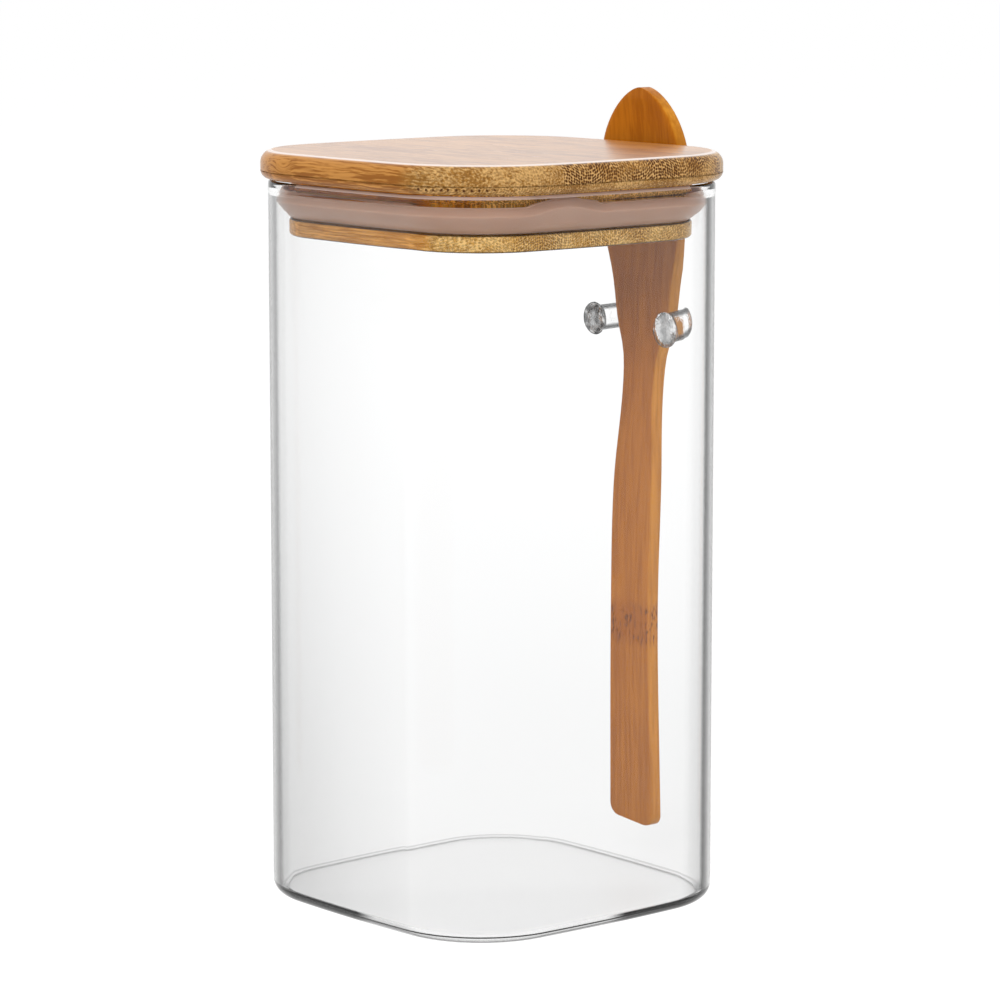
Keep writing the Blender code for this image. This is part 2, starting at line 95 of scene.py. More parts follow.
class Signal:
    """A shader socket that Python's operators work on, adding the nodes that do the sum."""

    def __init__(self, graph: "Graph", socket: bpy.types.NodeSocket) -> None:
        """Keeps a socket and the graph that it is in."""
        self.graph = graph
        self.socket = socket

    @property
    def kind(self) -> str:
        """VALUE, VECTOR or RGBA."""
        return self.socket.type

    def _sum(self, operation: str, other: "Signal | float | Sequence[float]", swap: bool = False) -> "Signal":
        """Adds the node for an operation on two operands.

        Args:
            operation: ADD, SUBTRACT, MULTIPLY or DIVIDE.
            other: the second operand, which is as long as this one where it is a sequence.
            swap: True when the operands change places.

        Returns:
            The result, a colour if either is a colour, and otherwise a vector if either is one.
        """
        first, second = (other, self) if swap else (self, other)
        kinds = {self.kind, other.kind if isinstance(other, Signal) else "VALUE"}
        if "RGBA" in kinds:
            return self.graph.mix(first, second, 1.0, Fill.RGBA, operation)
        if "VECTOR" in kinds:
            return self.graph.add("ShaderNodeVectorMath", {0: first, 1: second}, operation=operation)
        return self.graph.add("ShaderNodeMath", {0: first, 1: second}, operation=operation)

    def _function(self, operation: str, *limits: float) -> "Signal":
        """Adds the Math node for a function of this value, with the function's own numbers."""
        return self.graph.add("ShaderNodeMath", dict(enumerate((self, *limits))), operation=operation)

    def __add__(self, other: "Signal | float") -> "Signal":
        """self + other."""
        return self._sum("ADD", other)

    def __radd__(self, other: float) -> "Signal":
        """other + self."""
        return self._sum("ADD", other, swap=True)

    def __sub__(self, other: "Signal | float") -> "Signal":
        """self - other."""
        return self._sum("SUBTRACT", other)

    def __rsub__(self, other: float) -> "Signal":
        """other - self."""
        return self._sum("SUBTRACT", other, swap=True)

    def __mul__(self, other: "Signal | float | Sequence[float]") -> "Signal":
        """self times other."""
        return self._sum("MULTIPLY", other)

    def __rmul__(self, other: "float | Sequence[float]") -> "Signal":
        """other times self."""
        return self._sum("MULTIPLY", other, swap=True)

    def __truediv__(self, other: "Signal | float") -> "Signal":
        """self / other."""
        return self._sum("DIVIDE", other)

    def __neg__(self) -> "Signal":
        """-self."""
        return self._sum("MULTIPLY", -1.0)

    def __abs__(self) -> "Signal":
        """The size of a value."""
        return self._function("ABSOLUTE")

    def sine(self) -> "Signal":
        """The sine of a value in radians."""
        return self._function("SINE")

    def root(self) -> "Signal":
        """The square root of a value."""
        return self._function("SQRT")

    def whole(self) -> "Signal":
        """The whole number at or below a value."""
        return self._function("FLOOR")

    def wrap(self, size: float) -> "Signal":
        """What is left of a value once whole sizes are taken away."""
        return self._function("WRAP", size, 0.0)

    def axis(self, name: str) -> "Signal":
        """One of a vector's three parts, named x, y or z."""
        return self.graph.add("ShaderNodeSeparateXYZ", {0: self}, output=name.upper())

    def along(self, direction: Place) -> "Signal":
        """How far a place lies along a direction."""
        inputs = {0: self, 1: direction}
        return self.graph.add("ShaderNodeVectorMath", inputs, "Value", operation="DOT_PRODUCT")

    def between(self, at_zero: float, at_one: float) -> "Signal":
        """A straight line from one number where this value is 0 to another where it is 1."""
        return self * (at_one - at_zero) + at_zero

    def rise(self, low: float, high: float, bottom: float = 0.0, top: float = 1.0) -> "Signal":
        """A smooth step from bottom, where this value is low, to top, where it is high."""
        places = {0: self, 1: low, 2: high, 3: bottom, 4: top}
        return self.graph.add("ShaderNodeMapRange", places, interpolation_type="SMOOTHSTEP")


class Graph:
    """A shader node tree that Python expressions fill."""

    def __init__(self, tree: bpy.types.NodeTree) -> None:
        """Starts with an empty tree."""
        self.tree = tree
        tree.nodes.clear()

    def feed(self, socket: bpy.types.NodeSocket, value: object) -> None:
        """Links a socket, or sets its value.

        Args:
            socket: an input.
            value: a Signal, a number, or as many numbers as the socket holds (a colour may lack its alpha).
        """
        if isinstance(value, Signal):
            self.tree.links.new(value.socket, socket)
        elif socket.type == "RGBA":
            parts = (value,) * 3 if isinstance(value, (int, float)) else tuple(value)
            socket.default_value = (*parts, 1.0)[:4]
        elif socket.type == "VECTOR":
            socket.default_value = (value,) * 3 if isinstance(value, (int, float)) else value
        else:
            socket.default_value = value

    def node(self, kind: str, inputs: dict[int | str, object], **settings: object) -> bpy.types.Node:
        """Makes any node.

        Args:
            kind: the node's type.
            inputs: what its sockets take, by name or number.
            settings: its own settings, such as an operation or a ramp's stops.

        Returns:
            The node.
        """
        node = self.tree.nodes.new(kind)
        for name, value in settings.items():
            if name == "stops":
                self.set_stops(node.color_ramp.elements, value)
            else:
                setattr(node, name, value)
        for name, value in inputs.items():
            self.feed(node.inputs[name], value)
        return node

    @staticmethod
    def set_stops(elements: bpy.types.ColorRampElements, stops: Curve) -> None:
        """Gives a fresh ramp its stops, in greys.

        Args:
            elements: the ramp's stops, still its first two.
            stops: the places and values that they get.
        """
        elements.remove(elements[1])
        (elements[0].position, first), *others = stops
        elements[0].color = (first, first, first, 1.0)
        for place, value in others:
            elements.new(place).color = (value, value, value, 1.0)

    def add(
        self,
        kind: str,
        inputs: dict[int | str, object] | None = None,
        output: int | str = 0,
        **settings: object,
    ) -> Signal:
        """Makes any node, with what its sockets take by name or number, for one of its outputs."""
        return Signal(self, self.node(kind, inputs or {}, **settings).outputs[output])

    def mix(
        self,
        first: object,
        second: object,
        factor: object,
        fill: Fill = Fill.RGBA,
        blend: str = "MIX",
    ) -> Signal:
        """Mixes two values or two colours.

        Args:
            first: what shows where factor is 0.
            second: what shows where it is 1.
            factor: how much of the second there is.
            fill: which sockets are used.
            blend: how colours go together.

        Returns:
            The mixture.
        """
        data_type, a, b, output = fill.value
        settings = {"data_type": data_type}
        if fill is Fill.RGBA:
            settings["blend_type"] = blend
        return self.add("ShaderNodeMix", {0: factor, a: first, b: second}, output, **settings)

    def ramp(self, at: Signal, stops: Curve) -> Signal:
        """The value of a curve at a place."""
        return self.add("ShaderNodeValToRGB", {0: at}, "Color", stops=stops).axis("x")

    def vector(self, x: object, y: object, z: object) -> Signal:
        """A vector of three values."""
        return self.add("ShaderNodeCombineXYZ", {0: x, 1: y, 2: z})

    def place(self) -> Signal:
        """The object coordinates, which are the piece's own place in metres."""
        return self.add("ShaderNodeTexCoord", output="Object")

    def facing(self) -> Signal:
        """The surface's normal in object coordinates."""
        return self.add("ShaderNodeTexCoord", output="Normal")

    def grazing(self) -> Signal:
        """0 where glass is looked straight through, and 1 where one looks along it."""
        return self.add("ShaderNodeLayerWeight", {"Blend": 0.5}, "Facing")

    def noise(self, at: Signal, scale: float, detail: float = 2.0, output: str = "Fac") -> Signal:
        """Soft random clouds round 0.5, scale of them to a unit, as a Fac or a Color."""
        return self.add("ShaderNodeTexNoise", {"Vector": at, "Scale": scale, "Detail": detail}, output)

    def stir(self, at: Signal, scale: float, detail: float, reach: float) -> Signal:
        """A soft random shift of a place, as a vector, that is reach long from end to end."""
        return (self.noise(at, scale, detail, "Color") - 0.5) * reach

    def bump(self, height: Signal, strength: float, depth: float) -> Signal:
        """The normal of a surface with a fine relief, where a height of 1 stands for depth."""
        return self.add("ShaderNodeBump", {"Strength": strength, "Distance": depth, "Height": height})

    def cells(self, at: Signal, scatter: float) -> Signal:
        """The distance to the nearest of many scattered points in the plane, one to a unit square."""
        sockets = {"Vector": at, "Scale": 1.0, "Randomness": scatter}
        return self.add("ShaderNodeTexVoronoi", sockets, "Distance", voronoi_dimensions="2D")

    def surface(self, shader: Signal, output: str = "ShaderNodeOutputMaterial") -> None:
        """Ends a material's tree, or a world's, with a shader."""
        self.node(output, {"Surface": shader})


def material_graph(name: str) -> tuple[bpy.types.Material, Graph]:
    """Makes a material with an empty node tree.

    Args:
        name: its name.

    Returns:
        The material and its graph.
    """
    material = bpy.data.materials.new(name)
    material.use_nodes = True
    return material, Graph(material.node_tree)


@dataclass(frozen=True)
class EdgeShade:
    """How glass is painted darker where one looks along its wall, by the angle of the surface: painted dark
    edges in place of the dark surroundings seen in the glass.
    """

    # Facing and how much of the full darkness there is: the wide painted shade and the narrow painted dark
    # line
    wide_shade: Curve = (
        (0.30, 0.0),
        (0.36, 0.10),
        (0.40, 0.28),
        (0.44, 0.55),
        (0.50, 0.75),
        (0.56, 0.95),
        (0.62, 1.0),
        (0.75, 0.85),
        (0.88, 0.45),
        (1.0, 0.0),
    )
    line: Curve = (
        (0.56, 0.0),
        (0.585, 0.12),
        (0.607, 0.54),
        (0.645, 1.0),
        (0.70, 0.90),
        (0.777, 0.54),
        (0.86, 0.20),
        (0.96, 0.0),
    )
    # The wide painted shade's strength at the base and further up, and the share of it at the right corner
    wide_shade_low: float = 0.43
    wide_shade_high: float = 0.25
    right_wide_shade: float = 0.65
    # The line's strength at the left and right corners
    line_left: float = 0.54
    line_right: float = 0.83
    right_shift: float = 0.02
    # Painted shade: the glass is this clear at the base, rising to fully clear at the height high
    clear_low: float = 0.93
    low: float = 0.0
    high: float = 170 * MM
    corner_reach: float = 45 * MM
    # The heel's thin painted dark line, strong on the forward walls and faint on the far ones
    forward_reach: float = 6 * MM
    heel_line_z: float = 2.1 * MM
    heel_line_half: float = 0.32 * MM
    heel_line: float = 0.95
    back_line_z: float = 0.8 * MM
    back_line_half: float = 0.4 * MM
    back_line: float = 0.22
    line_core: float = 0.4
    # The painted dark below the line towards the two sideways corners, and the painted grey just above it
    heel_z: float = 1.9 * MM
    heel_soft: float = 0.8
    heel_dark: float = 0.99
    heel_start: float = 30 * MM
    heel_full: float = 36 * MM
    heel_grey: float = 0.25
    heel_top: float = 3.4 * MM

    def colour(self, graph: Graph, tint: Colour) -> Signal:
        """Gives the glass's colour.

        Args:
            graph: the material's graph.
            tint: the clear glass's own tint.

        Returns:
            The colour, which the shader takes the root of at each face that light goes through.
        """
        place = graph.place()
        height = place.axis("z")
        side = place.along(SIDEWAYS)
        right = side.rise(-self.corner_reach, self.corner_reach)
        up = height.rise(self.low, self.high)
        facing = graph.grazing() + right * self.right_shift
        # Painted dark edges where one looks along the wall
        wide_shade = graph.ramp(facing, self.wide_shade) * up.between(self.wide_shade_low, self.wide_shade_high)
        wide_shade = wide_shade * right.between(1.0, self.right_wide_shade)
        line = graph.ramp(facing, self.line) * right.between(self.line_left, self.line_right)
        ahead = place.along(FORWARD).rise(-self.forward_reach, self.forward_reach)
        # Painted dark heel towards the sideways corners, and painted dark lines round the base
        corner = abs(side).rise(self.heel_start, self.heel_full) * ahead
        heel = height.rise(self.heel_z * self.heel_soft, self.heel_z, self.heel_dark, 0.0)
        heel = corner * (heel + height.rise(self.heel_z, self.heel_top, self.heel_grey, 0.0)).rise(0.0, 1.0)
        ring = ahead * self.ring(height, self.heel_line_z, self.heel_line_half, self.heel_line)
        ring = ring + (1.0 - ahead) * self.ring(height, self.back_line_z, self.back_line_half, self.back_line)
        through = (1.0 - wide_shade) * (1.0 - line) * (1.0 - ring) * (1.0 - heel)
        # Painted shade, darker towards the base
        through = through * up.between(self.clear_low, 1.0)
        return graph.mix(0.0, tint, through * through)

    def ring(self, height: Signal, level: float, half: float, strength: float) -> Signal:
        """A level line, darkest in its middle and gone at half its thickness from there."""
        return abs(height - level).rise(half * self.line_core, half, strength, 0.0)


@dataclass(frozen=True)
class RodShade:
    """How a fused glass rod is painted darker: a painted dark outline, and painted dark clouds in the swirl
    of its root.
    """

    outline: Curve = ((0.39, 0.0), (0.46, 0.6), (0.55, 0.93), (1.0, 0.96))
    root_dark: float = 0.82
    root_light: float = 0.35
    # How squarely the root's disc faces the wall
    root_facing: Span = (-0.97, -0.9)
    swirl_scale: float = 420.0
    swirl_span: Span = (0.36, 0.62)

    def colour(self, graph: Graph, tint: Colour) -> Signal:
        """Gives the glass's colour.

        Args:
            graph: the material's graph.
            tint: the clear glass's own tint.

        Returns:
            The colour, which the shader takes the root of at each face that light goes through.
        """
        # Painted dark outline, and painted dark clouds on the root's disc
        outline = graph.ramp(graph.grazing(), self.outline)
        clouds = graph.noise(graph.place(), self.swirl_scale, 1.0)
        clouds = clouds.rise(*self.swirl_span, self.root_light, self.root_dark)
        root = graph.facing().axis("x").rise(*self.root_facing, 1.0, 0.0) * clouds
        through = (1.0 - outline) * (1.0 - root)
        return graph.mix(0.0, tint, through * through)


@dataclass(frozen=True)
class RimShade:
    """How the thick rim is painted with the warm colour of the lid and the seal, a painted reflection of them
    showing through it.
    """

    warm: Colour = (0.72, 0.55, 0.475)
    start: float = 53 * MM
    full: float = 50 * MM

    def colour(self, graph: Graph, tint: Colour) -> Signal:
        """The glass's colour, painted warm all round but for the two sideways corners."""
        side = graph.place().along(SIDEWAYS)
        # Painted warm colour of the seal and lid seen through the rim
        return graph.mix(self.warm, tint, abs(side).rise(self.full, self.start))


@dataclass(frozen=True)
class ClearGlass:
    """Clear borosilicate glass."""

    ior: float = 1.47
    tint: Colour = (0.99, 0.992, 0.992)
    edge: EdgeShade | RodShade | RimShade | None = None
    gloss: float = 0.12
    roughness: float = 0.0
    clearness: float = 1.0
    ripple_scale: float = 28.0
    ripple: float = 0.02
    # The small swirl in a rod: its strength, its size and how it is stirred
    swirl: float = 0.0
    swirl_scale: float = 900.0
    stir_scale: float = 220.0
    stir_reach: float = 6 * MM

    def material(self, name: str) -> bpy.types.Material:
        """Makes the material.

        Args:
            name: its name.

        Returns:
            Glass that lets the lamps' and the surroundings' light through to what is behind it.
        """
        material, graph = material_graph(name)
        place = graph.place()
        colour = self.edge.colour(graph, self.tint) if self.edge else self.tint
        ripples = graph.noise(place, self.ripple_scale, 1.0)
        if self.swirl:
            stirred = place + graph.stir(place, self.stir_scale, 2.0, self.stir_reach)
            ripples = ripples + graph.noise(stirred, self.swirl_scale, 2.0) * self.swirl
        glass = graph.add(
            "ShaderNodeBsdfPrincipled",
            {
                "Base Color": colour,
                "Roughness": self.roughness,
                "IOR": self.ior,
                "Specular Tint": self.gloss,
                "Transmission Weight": self.clearness,
                "Normal": graph.bump(ripples, self.ripple, MM),
            },
        )
        clear = graph.add("ShaderNodeBsdfTransparent", {"Color": self.tint})
        for ray in ("Is Diffuse Ray", "Is Shadow Ray"):
            light = graph.add("ShaderNodeLightPath", output=ray)
            glass = graph.add("ShaderNodeMixShader", {0: light, 1: glass, 2: clear})
        graph.surface(glass)
        return material


@dataclass(frozen=True)
class DotRow:
    """A row of big dark bundles beside a glue line."""

    first: float = -19 * MM
    last: float = 1 * MM
    pitch: float = 1.9 * MM
    height: float = 193.15 * MM
    radius: float = 0.45 * MM
    core: float = 0.5
    stray: float = 0.9 * MM
    stray_scale: float = 500.0

    def amount(self, graph: Graph, place: Signal) -> Signal:
        """Gives the row's dots.

        Args:
            graph: the material's graph.
            place: where it is read.

        Returns:
            1 in the middle of a dot and 0 outside the row.
        """
        place = place + graph.stir(place, self.stray_scale, 1.0, self.stray)
        side = place.along(SIDEWAYS)
        step = side.wrap(self.pitch) - self.pitch / 2
        rise = place.axis("z") - self.height
        away = (step * step + rise * rise).root()
        fade = self.pitch / 4
        inside = side.rise(self.first - fade, self.first) * side.rise(self.last, self.last + fade, 1.0, 0.0)
        return away.rise(self.radius * self.core, self.radius, 1.0, 0.0) * inside


@dataclass(frozen=True)
class Swirl:
    """A place on the lid's -X side where the fibres bend round something."""

    y: float = 22 * MM
    z: float = 195.9 * MM
    reach: float = 6 * MM
    lift: float = 1.6 * MM
    fade_x: Span = (-30 * MM, -40 * MM)

    def shift(self, place: Signal) -> Signal:
        """Gives how far the fibres are moved.

        Args:
            place: where it is read.

        Returns:
            The distance, largest in the swirl's middle.
        """
        along = (place.axis("y") - self.y) / self.reach
        rise = (place.axis("z") - self.z) / (self.reach / 2)
        away = (along * along + rise * rise).root()
        return away.rise(0.0, 1.0, self.lift, 0.0) * place.axis("x").rise(*self.fade_x)


@dataclass(frozen=True)
class Fibres:
    """A place in a bamboo piece, told by its fibres, with what the patterns share."""

    wide: Signal
    deep: Signal
    along: Signal
    # How much end grain shows, and the strip's own luck from 0 to 1
    end: Signal
    luck: Signal

    def stretched(self, graph: Graph, share: float, seed: float) -> Signal:
        """The place with its length along the fibres shrunk, so that a pattern is drawn out."""
        return graph.vector(self.wide, self.along * share, self.deep) + seed


@dataclass(frozen=True)
class Bamboo:
    """Laminated bamboo: strips with dark fibre bundles, which show as dots on the end grain."""

    grain: Grain = Grain.ACROSS
    pale: Colour = (0.62, 0.275, 0.060)
    brown: Colour = (0.33, 0.115, 0.014)
    bundle: Colour = (0.085, 0.027, 0.004)
    # What the end grain and the other two sides change in the colour. On the lid's flange the side tint is
    # grain colour; on the spoon it is painted light on the narrow sides.
    end_tint: Colour = (1.12, 1.50, 2.5)
    side_tint_and_painted_light: Colour = (1.0, 1.0, 1.0)
    side_facing: Span = (0.4, 0.8)
    # How far a face turns to the fibres' minus end, and to their plus end, as it starts to show end grain
    near_end: Span = (0.06, 0.32)
    far_end: Span = (0.5, 0.8)
    # The fibre bundles. They get darker and paler, and shift, with a sine of the strip's number
    bundle_pitch: float = 0.78 * MM
    bundle_size: float = 0.54
    bundle_scatter: float = 0.42
    bundle_strength: float = 1.0
    side_strength: float = 0.35
    bundle_edge: float = 0.55
    strip_start: float = -20 * MM
    strip_width: float = 29 * MM
    strip_turn: float = 1.5
    strip_phase: float = 0.8
    strip_change: float = 0.14
    strip_offset: float = 7.0
    luck_span: Span = (0.1, 0.8)
    unlucky: float = 0.26
    arc: float = 1.6 * MM
    arc_width: float = 2.6 * MM
    patch_scale: float = 90.0
    patch_stretch: float = 0.15
    patch_span: Span = (0.32, 0.6)
    patch_least: float = 0.55
    patch_size: float = 0.7
    speck_scale: float = 1500.0
    speck_span: Span = (0.50, 0.60)
    speck_strength: float = 0.32
    dot_row: DotRow | None = None
    # How far the fibres stray, in large and in small
    wander: float = 2.0 * MM
    wander_scale: float = 26.0
    ripple: float = 0.7 * MM
    ripple_scale: float = 150.0
    swirl: Swirl | None = None
    # The fine threads and the wider streaks between pale and brown
    thread_scale: float = 1900.0
    thread_stretch: float = 0.05
    thread_share: float = 0.65
    streak_scale: float = 160.0
    streak_stretch: float = 0.1
    tone: Span = (0.43, 0.58)
    # How dark the painted shade on a turned edge gets, between an upright side and a level face
    painted_turned_shade: float = 0.0
    turned_start: Span = (0.45, 0.8)
    turned_end: Span = (0.98, 0.999)
    # The speckled band where the bamboo stem had a node
    node_height: float | None = None
    node_reach: float = 7 * MM
    node_fade: Span = (0.75, 1.35)
    node_scale: float = 300.0
    node_stray: float = 4 * MM
    node_stretch: float = 0.35
    node_specks: Span = (0.52, 0.66)
    node_tint: Colour = (0.86, 0.78, 0.7)
    # Painted light and shade along an upright piece's fibres, at shares of a span, scaled by a gain
    painted_shade_along: Curve | None = None
    painted_shade_span: float = 220 * MM
    painted_light_gain: float = 1.0
    # The satin surface, the lacquer on a level top, and a painted highlight along its rounded edge
    ior: float = 1.5
    shine: float = 0.12
    roughness: float = 0.24
    rough_change: float = 0.16
    relief: float = 0.25
    relief_depth: float = 0.06 * MM
    top_coat: float = 0.0
    coat_roughness: float = 0.4
    coat_facing: Span = (0.75, 0.93)
    painted_edge_highlight: Colour = (1.0, 0.88, 0.82)
    highlight_start: Span = (0.86, 0.93)
    highlight_end: Span = (0.985, 0.9995)
    highlight_share: float = 0.8
    seed: float = 0.0

    def material(self, name: str) -> bpy.types.Material:
        """Makes the material.

        Args:
            name: its name.

        Returns:
            Satin bamboo whose pattern runs through the solid piece.
        """
        material, graph = material_graph(name)
        fibres = self.fibres(graph)
        bundles = self.bundles(graph, fibres)
        threads = graph.noise(fibres.stretched(graph, self.thread_stretch, self.seed), self.thread_scale, 3.0)
        colour = self.colour(graph, fibres, threads, bundles)
        sockets = {
            "Base Color": colour,
            "Roughness": threads * self.rough_change + (self.roughness - self.rough_change / 2),
            "IOR": self.ior,
            "Specular IOR Level": self.shine,
            "Normal": graph.bump(threads * 0.5 - bundles * 0.5, self.relief, self.relief_depth),
        }
        if self.top_coat:
            up = graph.facing().axis("z")
            # Painted highlight: a pale band along the lacquered top's rounded edge
            painted_highlight = up.rise(*self.highlight_start) * up.rise(*self.highlight_end, self.highlight_share, 0.0)
            sockets["Base Color"] = graph.mix(colour, self.painted_edge_highlight, painted_highlight)
            sockets["Coat Weight"] = up.rise(*self.coat_facing, 0.0, self.top_coat)
            sockets["Coat Roughness"] = self.coat_roughness
        graph.surface(graph.add("ShaderNodeBsdfPrincipled", sockets))
        return material

    def fibres(self, graph: Graph) -> Fibres:
        """Tells each place by the fibres, which wander a little.

        Args:
            graph: the material's graph.

        Returns:
            The place, with its end grain and its strip's luck.
        """
        own = graph.place()
        place = own + graph.stir(own + self.seed, self.wander_scale, 3.0, self.wander)
        if self.ripple:
            place = place + graph.stir(own + self.seed, self.ripple_scale, 2.0, self.ripple)
        wide, deep, along = (place.axis(name) for name in ("xzy" if self.grain is Grain.ACROSS else "yxz"))
        if self.swirl:
            deep = deep + self.swirl.shift(own)
        strip = ((own.axis("x") - self.strip_start) / self.strip_width).whole()
        luck = (strip * self.strip_turn + self.strip_phase).sine() * 0.5 + 0.5
        facing = graph.facing().axis(self.grain.value)
        end = (-facing).rise(*self.near_end) + facing.rise(*self.far_end)
        return Fibres(wide, deep, along, end, luck)

    def bundles(self, graph: Graph, fibres: Fibres) -> Signal:
        """Gives the dark fibre bundles, which are strongest on the end grain.

        Args:
            graph: the material's graph.
            fibres: the place by the fibres.

        Returns:
            1 where a bundle is darkest, and 0 between them.
        """
        arcs = (fibres.wide / self.arc_width).sine() * self.arc
        across = fibres.wide / self.bundle_pitch + fibres.luck * self.strip_offset
        through = (fibres.deep + arcs + self.seed) / self.bundle_pitch
        away = graph.cells(graph.vector(across, through, 0.0), self.bundle_scatter)
        patch = graph.noise(fibres.stretched(graph, self.patch_stretch, self.seed), self.patch_scale, 1.0)
        patch = patch.rise(*self.patch_span, self.patch_least, 1.0)
        size = patch.between(self.patch_size, 1.0) * self.bundle_size
        bundles = (away / size).rise(self.bundle_edge, 1.0, 1.0, 0.0) * patch
        bundles = bundles * fibres.luck.rise(*self.luck_span, self.unlucky, 1.0)
        bundles = bundles * fibres.end.between(self.side_strength, self.bundle_strength)
        specks = graph.noise(graph.place(), self.speck_scale, 1.0).rise(*self.speck_span)
        bundles = graph.mix(specks * fibres.end * self.speck_strength, 1.0, bundles, Fill.VALUE)
        if self.dot_row:
            bundles = graph.mix(bundles, 1.0, self.dot_row.amount(graph, graph.place()), Fill.VALUE)
        return bundles

    def colour(self, graph: Graph, fibres: Fibres, threads: Signal, bundles: Signal) -> Signal:
        """Gives the bamboo's colour.

        Args:
            graph: the material's graph.
            fibres: the place by the fibres.
            threads: the fine threads.
            bundles: the dark fibre bundles.

        Returns:
            The colour, without the painted highlight along a lacquered top's edge.
        """
        streaks = graph.noise(fibres.stretched(graph, self.streak_stretch, self.seed), self.streak_scale)
        tone = (threads * self.thread_share + streaks * (1 - self.thread_share)).rise(*self.tone)
        colour = graph.mix(self.pale, self.brown, tone)
        colour = graph.mix(colour, colour * self.end_tint, fibres.end)
        # Side tint: grain colour on the flange, painted light on the spoon's narrow sides
        side = abs(graph.facing().axis("y" if self.grain is Grain.UPRIGHT else "x")).rise(*self.side_facing)
        colour = graph.mix(colour, colour * self.side_tint_and_painted_light, side)
        colour = graph.mix(colour, self.bundle, bundles)
        colour = colour * fibres.luck.between(1.0 - self.strip_change / 2, 1.0 + self.strip_change / 2)
        # Painted shade on turned edges
        if self.painted_turned_shade:
            turned = abs(graph.facing().axis("z"))
            turned = turned.rise(*self.turned_start) * turned.rise(*self.turned_end, self.painted_turned_shade, 0.0)
            colour = colour * (1.0 - turned)
        # Painted light and shade along the fibres
        if self.painted_shade_along:
            share = graph.place().axis("z") / self.painted_shade_span
            colour = colour * (graph.ramp(share, self.painted_shade_along) * self.painted_light_gain)
        if self.node_height is not None:
            colour = self.add_node(graph, fibres, colour)
        return colour

    def add_node(self, graph: Graph, fibres: Fibres, colour: Signal) -> Signal:
        """Adds the speckled band where the bamboo stem had a node.

        Args:
            graph: the material's graph.
            fibres: the place by the fibres.
            colour: the bamboo without the band.

        Returns:
            The colour with the band.
        """
        section = graph.vector(fibres.wide, fibres.deep, 0.0)
        reach = abs(fibres.along - self.node_height) + graph.noise(section, self.node_scale) * self.node_stray
        start, end = (self.node_reach * share for share in self.node_fade)
        band = reach.rise(start, end, 1.0, 0.0)
        drawn = graph.vector(fibres.wide, fibres.deep, fibres.along * self.node_stretch)
        specks = graph.noise(drawn, self.speck_scale).rise(*self.node_specks)
        colour = graph.mix(colour, colour * self.node_tint, band)
        return graph.mix(colour, self.bundle, specks * band)


@dataclass(frozen=True)
class Silicone:
    """Milky silicone rubber, painted warm for the bamboo that shows through it and dark for the lid's shade
    over it.
    """

    # Painted warm and dark: the bamboo showing through and the lid's shade
    colour: Colour = (0.46, 0.29, 0.215)
    foot_shade_colour: Colour = (0.44, 0.27, 0.195)
    lip_highlight: Colour = (0.66, 0.48, 0.39)
    roughness: float = 0.36
    ior: float = 1.43
    glow: float = 0.5
    glow_radius: Colour = (1.0, 0.7, 0.5)
    glow_depth: float = 3.0 * MM
    # The foot's painted shade ends at this share of the height
    foot_share: float = 0.8
    cloud_scale: float = 70.0
    cloud_span: Span = (0.92, 1.08)
    relief: float = 0.12
    relief_depth: float = 0.2 * MM
    relief_scale: float = 240.0
    # How far a face looks up where it gets a little painted shade, and where it takes the lip's painted
    # highlight
    shade_facing: Span = (0.0, 0.5)
    shade: float = 0.93
    lip_highlight_facing: Span = (0.6, 0.85)

    def material(self, name: str, low: float, high: float) -> bpy.types.Material:
        """Makes the material.

        Args:
            name: its name.
            low: the seal's lowest height.
            high: its highest.

        Returns:
            Soft translucent rubber, with painted shade at its foot and on its up-facing slope, and a painted
            highlight along its lip.
        """
        material, graph = material_graph(name)
        place = graph.place()
        up = graph.facing().axis("z")
        depth = place.axis("z").rise(low, low + (high - low) * self.foot_share)
        # Painted shade darkens the foot
        colour = graph.mix(self.foot_shade_colour, self.colour, depth)
        colour = colour * graph.noise(place, self.cloud_scale).between(*self.cloud_span)
        # Painted shade on faces that look up
        colour = colour * up.rise(*self.shade_facing, 1.0, self.shade)
        # Painted highlight along the lip's upper edge
        colour = graph.mix(colour, self.lip_highlight, up.rise(*self.lip_highlight_facing))
        relief = graph.noise(place, self.relief_scale)
        shader = graph.add(
            "ShaderNodeBsdfPrincipled",
            {
                "Base Color": colour,
                "Roughness": self.roughness,
                "IOR": self.ior,
                "Subsurface Weight": self.glow,
                "Subsurface Radius": self.glow_radius,
                "Subsurface Scale": self.glow_depth,
                "Normal": graph.bump(relief, self.relief, self.relief_depth),
            },
        )
        graph.surface(shader)
        return material


@dataclass(frozen=True)
class Arc:
    """A turn about an upright axis."""

    centre: Point
    angle: float
    steps: int


@dataclass(frozen=True)
class RoundedSquare:
    """A square plan whose sides bow out a little and run smoothly into round corners."""

    half_side: float
    corner_radius: float
    side_radius: float
    side_steps: int = 6
    corner_steps: int = 22

    def arcs(self) -> Iterator[Arc]:
        """Gives the turns that carry a section once round, from the middle of the +X side.

        Returns:
            Half a side, a corner and half a side, four times.
        """
        between = self.side_radius - self.corner_radius
        lean = math.asin((self.side_radius - self.half_side) / (math.sqrt(2) * between))
        turn = math.pi / 4 - lean
        corner = between * math.sin(turn)
        x, y = self.half_side - self.side_radius, 0.0
        corner_x, corner_y = corner, corner
        for _ in range(4):
            yield Arc((x, y), turn, self.side_steps)
            yield Arc((corner_x, corner_y), math.pi / 2 - 2 * turn, self.corner_steps)
            x, y = -y, x
            yield Arc((x, y), turn, self.side_steps)
            corner_x, corner_y = -corner_y, corner_x

    def section(self, points: Sequence[Point]) -> list[Vector]:
        """Stands points, given as distances out and heights, at the middle of the +X side."""
        return [Vector((self.half_side + out, 0.0, height)) for out, height in points]


